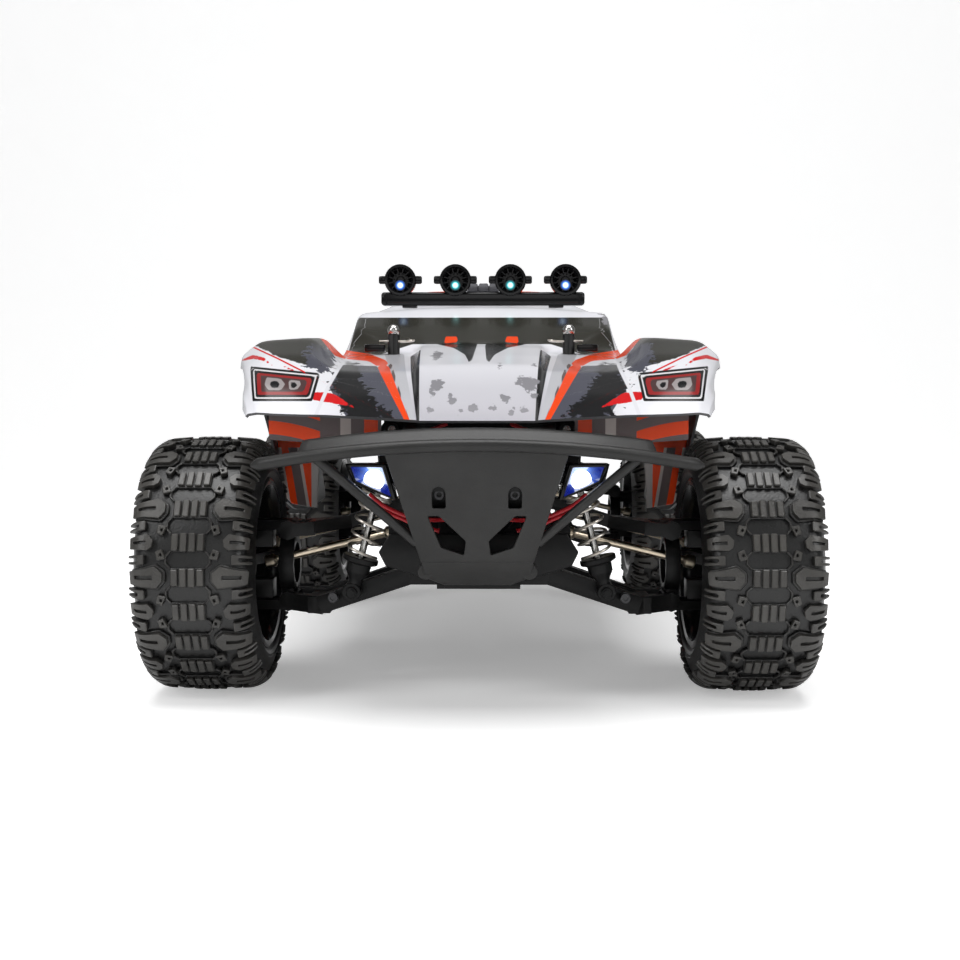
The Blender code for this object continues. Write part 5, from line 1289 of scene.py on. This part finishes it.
def scoopMesh():
    size = scoopSizes
    run, rise = size["back"] - size["front"], size["high"] - size["low"]
    outline = [(size["front"] + u * run, size["low"] + v * rise) for u, v in scoopSide]
    parts = []
    for low, high in ((-size["half"], -3.4), (-2.6, 2.6), (3.4, size["half"])):
        parts.append(slab(outline, lambda u, v, d: Vector((d, u, v)) * mm, low, high, 0.7 * mm))
    parts.append(box((-size["half"], size["floorFront"], size["floorLow"]),
                     (size["half"], size["floorBack"], size["floorHigh"]), 0.3))
    return joined(parts)


pieceFrom("roof_scoop", scoopMesh(), paints["scoop"], "chassis")
print("stage 5: bumper, headlamps and light bar")


# suspension: one front left corner is drawn and mirrored to the other three

shockSizes = dict(foot=(56.0, -163.5, 47.0), top=(40.0, -163.5, 108.0), cup=5.2, flange=8.0, cupHeight=16.0,
                  capDrop=10.0, rod=1.6, collar=2.0, bore=2.7, eye=4.2, eyeHalf=3.0, eyeSides=28, sides=36,
                  springRadius=6.6, wire=0.65, seat=0.3, coils=5.5, coilPoints=28, ease=1.2, grip=1.1,
                  keep=0.786)
armScrewSizes = dict(x=64.6, y=162.2, z=44.2, radius=2.5, height=1.2)
shaftSizes = dict(inner=(38.0, -142.0, 72.0), outer=(98.0, -142.0, 57.5), radius=1.8)


def shockLine():
    foot, top = Vector(shockSizes["foot"]), Vector(shockSizes["top"])
    return foot, top, (top - foot).normalized()


def shockEye(place):
    half = Vector((0, shockSizes["eyeHalf"], 0))
    return rodBetween(place - half, place + half, shockSizes["eye"], shockSizes["eyeSides"])


def shockCup():
    size = shockSizes
    foot, _, up = shockLine()
    cup, flange, high, bore = size["cup"], size["flange"], size["cupHeight"], size["bore"]
    profile = [(2, 2.9), (5.2, 2.9), (6.4, 3.4), (9, cup), (high - 3.2, cup + 0.3),
               (high - 2.4, flange - 0.5), (high - 2, flange), (high - 0.3, flange), (high, flange - 0.3),
               (high, bore), (high - 10, bore)]
    barrel = turned(foot * mm, up, inMetres(profile), size["sides"])
    head = screw(foot - Vector((0, size["eyeHalf"] - 0.4, 0)), (0, -1, 0), 2.6, 1.4)
    return joined([barrel, shockEye(foot), head])


def shockCap():
    size = shockSizes
    _, top, up = shockLine()
    cup, flange, drop = size["cup"], size["flange"], size["capDrop"]
    profile = [(1, 2.9), (4.4, 2.9), (5.8, cup), (drop - 3.4, cup + 0.4), (drop - 2.6, flange - 0.4),
               (drop - 2, flange), (drop - 0.3, flange), (drop, flange - 0.4), (drop, 2)]
    cap = turned(top * mm, -up, inMetres(profile), size["sides"])
    return joined([cap, shockEye(top)])


def shockStem():
    size = shockSizes
    foot, top, up = shockLine()
    drop = size["capDrop"]
    return joined([rodBetween(top - up * 6, foot + up * (size["cupHeight"] - 1.5), size["rod"]),
                   rodBetween(top - up * (drop - 1), top - up * (drop + 7), size["collar"])])


def springMesh():
    size = shockSizes
    foot, top, up = shockLine()
    along, side, other = frameOf(up)
    low = size["cupHeight"] + size["seat"] + size["wire"]
    high = (top - foot).length - size["capDrop"] - size["seat"] - size["wire"]
    steps = int(size["coils"] * size["coilPoints"])
    points = []
    for i in range(steps + 1):
        turn = i / size["coilPoints"]
        ease = min(1, turn / size["ease"], (size["coils"] - turn) / size["ease"])
        share = i / steps
        rise = low + (high - low) * share
        grip = (1 - ease) * size["grip"] * (1 if share < 0.5 else -1)
        angle = 2 * math.pi * turn
        place = foot + along * (rise - grip * share * (1 - share) * 4)
        outward = side * math.cos(angle) + other * math.sin(angle)
        points.append((place + outward * size["springRadius"]) * mm)
    return tubeAlong(points, size["wire"] * mm, 10)


def shaftMesh():
    size = shaftSizes
    inner, outer = Vector(size["inner"]) * mm, Vector(size["outer"]) * mm
    length = (outer - inner).length / mm
    r = size["radius"]
    profile = [(0, 2.2), (0.6, 3), (4.4, 3), (5.2, 2.2), (6, r), (length - 6, r), (length - 5.2, 2.2),
               (length - 4.4, 3), (length - 0.6, 3), (length, 2.2)]
    return turned(inner, outer - inner, inMetres(profile), 24)


cornerShapes = (shockCup(), shockCap(), shockStem(), springMesh(), shaftMesh())
for end, side, prefix, sx, sy in corners:
    mirror = Matrix.Diagonal((sx, -sy, 1, 1))
    flip = sx * -sy < 0
    cup, cap, stem, spring, shaft = (moved(shape, mirror, flip) for shape in cornerShapes)
    shockBody, shockRod, driveShaft = prefix + "shock_body", prefix + "shock_rod", prefix + "drive_shaft"
    pieceFrom(shockBody + "_look", cup, paints["arm"], shockBody, shockBody)
    pieceFrom(shockRod + "_look", stem, paints["steel"], shockRod, shockRod)
    pieceFrom(prefix + "shock_cap", cap, paints["arm"], shockRod)
    coil = pieceFrom(prefix + "spring_look", spring, paints["chrome"], shockRod, prefix + "spring")
    foot, top, up = shockLine()
    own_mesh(coil)
    pieceFrom(driveShaft + "_look", shaft, paints["gold"], driveShaft, driveShaft)
    size = armScrewSizes
    armScrew = screw((sx * size["x"], sy * size["y"], size["z"]), (0, sy, 0), size["radius"], size["height"])
    pieceFrom(prefix + "arm_screws", joined([armScrew]), paints["screw"], prefix + "lower_arm", None)
    for name, width in (("lower_arm", 0.7), ("upper_arm", 0.6)):
        dressed(prefix + name, "arm", width * mm)
    for name in (("hub_carrier", "knuckle") if end == "front" else ("upright",)):
        dressed(prefix + name, "arm", 0.4 * mm)
print("stage 6: suspension")


# chassis and drive: the solids' own shapes with softened edges

chassisPaint = [("chassis_tub", "arm", 0.6), ("front_gearbox_case", "arm", 0.8),
                ("rear_gearbox_case", "arm", 0.8), ("front_shock_tower", "gloss", 0.4),
                ("rear_shock_tower", "gloss", 0.4), ("front_body_mount", "arm", 0.4),
                ("rear_bumper", "bumper", 0.6), ("battery_pack", "battery", 1.6),
                ("electronics_box", "redCase", 0.8), ("steering_servo", "gloss", 0.5),
                ("servo_horn", "arm", 0.3), ("steering_link", "arm", 0.4), ("left_tie_rod", "gold", 0.2),
                ("right_tie_rod", "gold", 0.2), ("centre_drive_shaft", "gear", 0.2),
                ("motor", "motorCan", 0.6), ("motor_pinion", "gold", 0.1)]
for name, paint, width in chassisPaint:
    dressed(name, paint, width * mm)
print("stage 7: chassis and drive")


# front bulkhead behind the skid plate, and the tower's brace, bosses and bright screws

bulkheadHalf = [(38.0, 74.0), (43.0, 66.0), (40.0, 60.0), (24.0, 55.0)]
bulkheadSizes = dict(front=-177.5, thick=3.0)
towerSizes = dict(x=38.5, y=-154.6, z=118.4, boss=3.4, screw=1.9, braceLow=(-34, -159.5, 116),
                  braceHigh=(34, -154, 124.5))


def bulkheadPlace(u, v, d):
    return Vector((u, bulkheadSizes["front"] + d, v)) * mm


bulkhead = slab(mirroredOutline(bulkheadHalf), bulkheadPlace, 0, bulkheadSizes["thick"], 0.6 * mm)
pieceFrom("front_bulkhead", bulkhead, paints["arm"], "chassis")
towerScrews = []
towerBosses = []
for sign in (-1, 1):
    place = Vector((sign * towerSizes["x"], towerSizes["y"], towerSizes["z"]))
    boss = rodBetween(place + Vector((0, 1, 0)), place - Vector((0, 2.2, 0)), towerSizes["boss"], 24)
    towerBosses.append(boss)
    towerScrews.append(screw(place - Vector((0, 2, 0)), (0, -1, 0), towerSizes["screw"], 1.1))
towerBosses.append(box(towerSizes["braceLow"], towerSizes["braceHigh"], 1.2))
pieceFrom("tower_bosses", joined(towerBosses), paints["gloss"], "chassis")
pieceFrom("tower_screws", joined(towerScrews), paints["steel"], "chassis", None)


# body posts: ball tops, spring clips and small pads on the shell

clipSizes = dict(ball=3.1, ballDrop=1.2, wire=0.5, drop=3.4, padNear=(47, -97, 155.4), padFar=(57, -91, 159))
clipPath = [(7, -1, 0), (2, -1.2, 0.2), (-5, -1.2, 0), (-8.5, -3, 0.3), (-10, 0, 0.6), (-8.5, 3, 0.3),
            (-4, 2.6, 0), (0, 4.2, 0), (4, 2.6, 0), (7, 3.4, 0.4)]


def ballTop(x, y, top):
    r = clipSizes["ball"]
    angles = np.radians(np.linspace(2, 178, 15))
    profile = [(r * (1 - math.cos(a)), max(0.05, r * math.sin(a))) for a in angles]
    return turned(Vector((x, y, top - clipSizes["ballDrop"])) * mm, (0, 0, 1), inMetres(profile), 24)


def clip(x, y, z, sign):
    path = bowed([(sign * u, v, w) for u, v, w in clipPath], 6)
    return tubeAlong([Vector((x, y, z)) * mm + p * mm for p in path], clipSizes["wire"] * mm, 8)


clips = []
balls = []
for x, y, top in posts:
    for sign in (-1, 1):
        balls.append(ballTop(sign * x, y, top))
        clips.append(clip(sign * x, y, top - clipSizes["drop"], sign))
pieceFrom("post_tops", joined(balls), paints["steel"], "chassis", None)
pieceFrom("body_clips", joined(clips), paints["chrome"], "chassis", None)
padNear, padFar = clipSizes["padNear"], clipSizes["padFar"]
pads = [box((sign * padNear[0], *padNear[1:]), (sign * padFar[0], *padFar[1:]), 0.5) for sign in (-1, 1)]
pieceFrom("clip_pads", joined(pads), paints["gloss"], "chassis")


# wires: lamp leads behind the skid plate

wireSizes = dict(radius=0.9)
leads = [[(45, -193, 92), (40, -195, 88), (35, -197, 85.5), (28, -199, 83), (19, -202, 82), (10, -203, 82.6),
          (0, -203, 84)],
         [(44, -191, 90), (38, -192, 84.5), (32, -193, 82), (25, -194, 79), (16, -196, 77)],
         [(36, -198, 108), (33, -196, 112), (24, -184, 117), (14, -172, 121)]]
wires = []
for sign in (-1, 1):
    for lead in leads:
        path = bowed([(sign * x, y, z) for x, y, z in lead], 7)
        wires.append(tubeAlong([p * mm for p in path], wireSizes["radius"] * mm, 8))
pieceFrom("lamp_wires", joined(wires), paints["redWire"], "chassis", None)
print("stage 8: clips and wires")


# floor with a painted shadow under the truck, light and camera

floorSizes = dict(shadeX=0.175, shadeY=0.24, shadeNear=0.75, shadeFar=1.3, paintedShadowGlow=0.3, glow=0.62,
                  front=-6.0, back=1.6, bend=1.2, top=6.0, half=9.0)


def stageMaterial():
    material = bpy.data.materials.new("floorWhite")
    material.use_nodes = True
    tree = material.node_tree
    tree.nodes.clear()
    outlet = addNode(tree, "ShaderNodeOutputMaterial", (600, 0))
    diffuse = addNode(tree, "ShaderNodeBsdfDiffuse", (0, 100))
    diffuse.inputs["Color"].default_value = (0.9, 0.9, 0.9, 1)
    glow = addNode(tree, "ShaderNodeEmission", (0, -100))
    coords = addNode(tree, "ShaderNodeTexCoord", (-1200, -300))
    reach = addNode(tree, "ShaderNodeVectorMath", (-1000, -300), operation="MULTIPLY")
    reach.inputs[1].default_value = (1 / floorSizes["shadeX"], 1 / floorSizes["shadeY"], 0)
    away = addNode(tree, "ShaderNodeVectorMath", (-800, -300), operation="LENGTH")
    tree.links.new(coords.outputs["Object"], reach.inputs[0])
    tree.links.new(reach.outputs[0], away.inputs[0])
    # painted shadow: the floor's glow for camera rays is weaker near the truck, so the floor is darker under
    # it
    paintedShadow = ramp(tree, away.outputs["Value"], floorSizes["shadeNear"], floorSizes["shadeFar"],
                 floorSizes["paintedShadowGlow"], floorSizes["glow"])
    seen = addNode(tree, "ShaderNodeLightPath", (-400, -100))
    strength = addNode(tree, "ShaderNodeMath", (-200, -200), operation="MULTIPLY")
    tree.links.new(seen.outputs["Is Camera Ray"], strength.inputs[0])
    tree.links.new(paintedShadow, strength.inputs[1])
    tree.links.new(strength.outputs[0], glow.inputs["Strength"])
    both = addNode(tree, "ShaderNodeAddShader", (300, 0))
    tree.links.new(diffuse.outputs[0], both.inputs[0])
    tree.links.new(glow.outputs[0], both.inputs[1])
    tree.links.new(both.outputs[0], outlet.inputs[0])
    return material


def addFloor():
    size = floorSizes
    back, bend = size["back"], size["bend"]
    profile = [(size["front"], 0.0), (back, 0.0)]
    for turn in np.radians(np.arange(6, 91, 6)):
        profile.append((back + bend * math.sin(turn), bend - bend * math.cos(turn)))
    profile += [(back + bend, size["top"])]
    points = [(x, y, z) for y, z in profile for x in (-size["half"], size["half"])]
    faces = [(2 * i, 2 * i + 1, 2 * i + 3, 2 * i + 2) for i in range(len(profile) - 1)]
    mesh = bpy.data.meshes.new("floor")
    mesh.from_pydata(points, [], faces)
    mesh.shade_smooth()
    mesh.materials.append(stageMaterial())
    floor = linked("floor", mesh)


def addLight(name, place, aim, size, power):
    lamp = bpy.data.lights.new(name, "AREA")
    lamp.shape = "RECTANGLE"
    lamp.size, lamp.size_y = size
    lamp.energy = power
    holder = linked(name, lamp)
    holder.location = place
    holder.rotation_euler = (Vector(aim) - Vector(place)).to_track_quat("-Z", "Y").to_euler()


addFloor()
addLight("topSoft", (0, -0.35, 1.9), (0, -0.1, 0.1), (1.7, 1.3), 30)
addLight("leftSoft", (-1.5, -1.3, 1.0), (0, -0.1, 0.1), (0.7, 1.1), 8.5)
addLight("rightSoft", (1.5, -1.3, 1.0), (0, -0.1, 0.1), (0.7, 1.1), 8.5)
addLight("keySpot", (-0.9, -1.5, 1.7), (0, -0.15, 0.1), (0.35, 0.35), 3)
addLight("frontSoft", (0, -2.4, 0.75), (0, -0.1, 0.1), (1.4, 0.7), 2.5)

scene = bpy.context.scene
world = bpy.data.worlds.new("studio")
scene.world = world
world.use_nodes = True
sky = world.node_tree
lightPath = addNode(sky, "ShaderNodeLightPath", (-500, 200))
ambient = sky.nodes["Background"]
ambient.inputs["Color"].default_value = (0.98, 0.99, 1.0, 1)
sky.links.new(ramp(sky, lightPath.outputs["Is Camera Ray"], 0, 1, 0.14, 1.0), ambient.inputs["Strength"])

cameraSizes = dict(lens=48.19, sensor=36.0, pitch=3.12, yaw=0.8)
lens = bpy.data.cameras.new("camera")
lens.lens = cameraSizes["lens"]
lens.sensor_width = cameraSizes["sensor"]
lens.clip_start = 0.02
camera = linked("camera", lens)
camera.location = (eye["x"] * mm, eye["y"] * mm, eye["z"] * mm)
camera.rotation_euler = (math.radians(90 - cameraSizes["pitch"]), 0, math.radians(cameraSizes["yaw"]))
scene.camera = camera
scene.view_settings.view_transform = "Standard"
bpy.context.view_layer.update()
print("stage 9: stage and camera set")
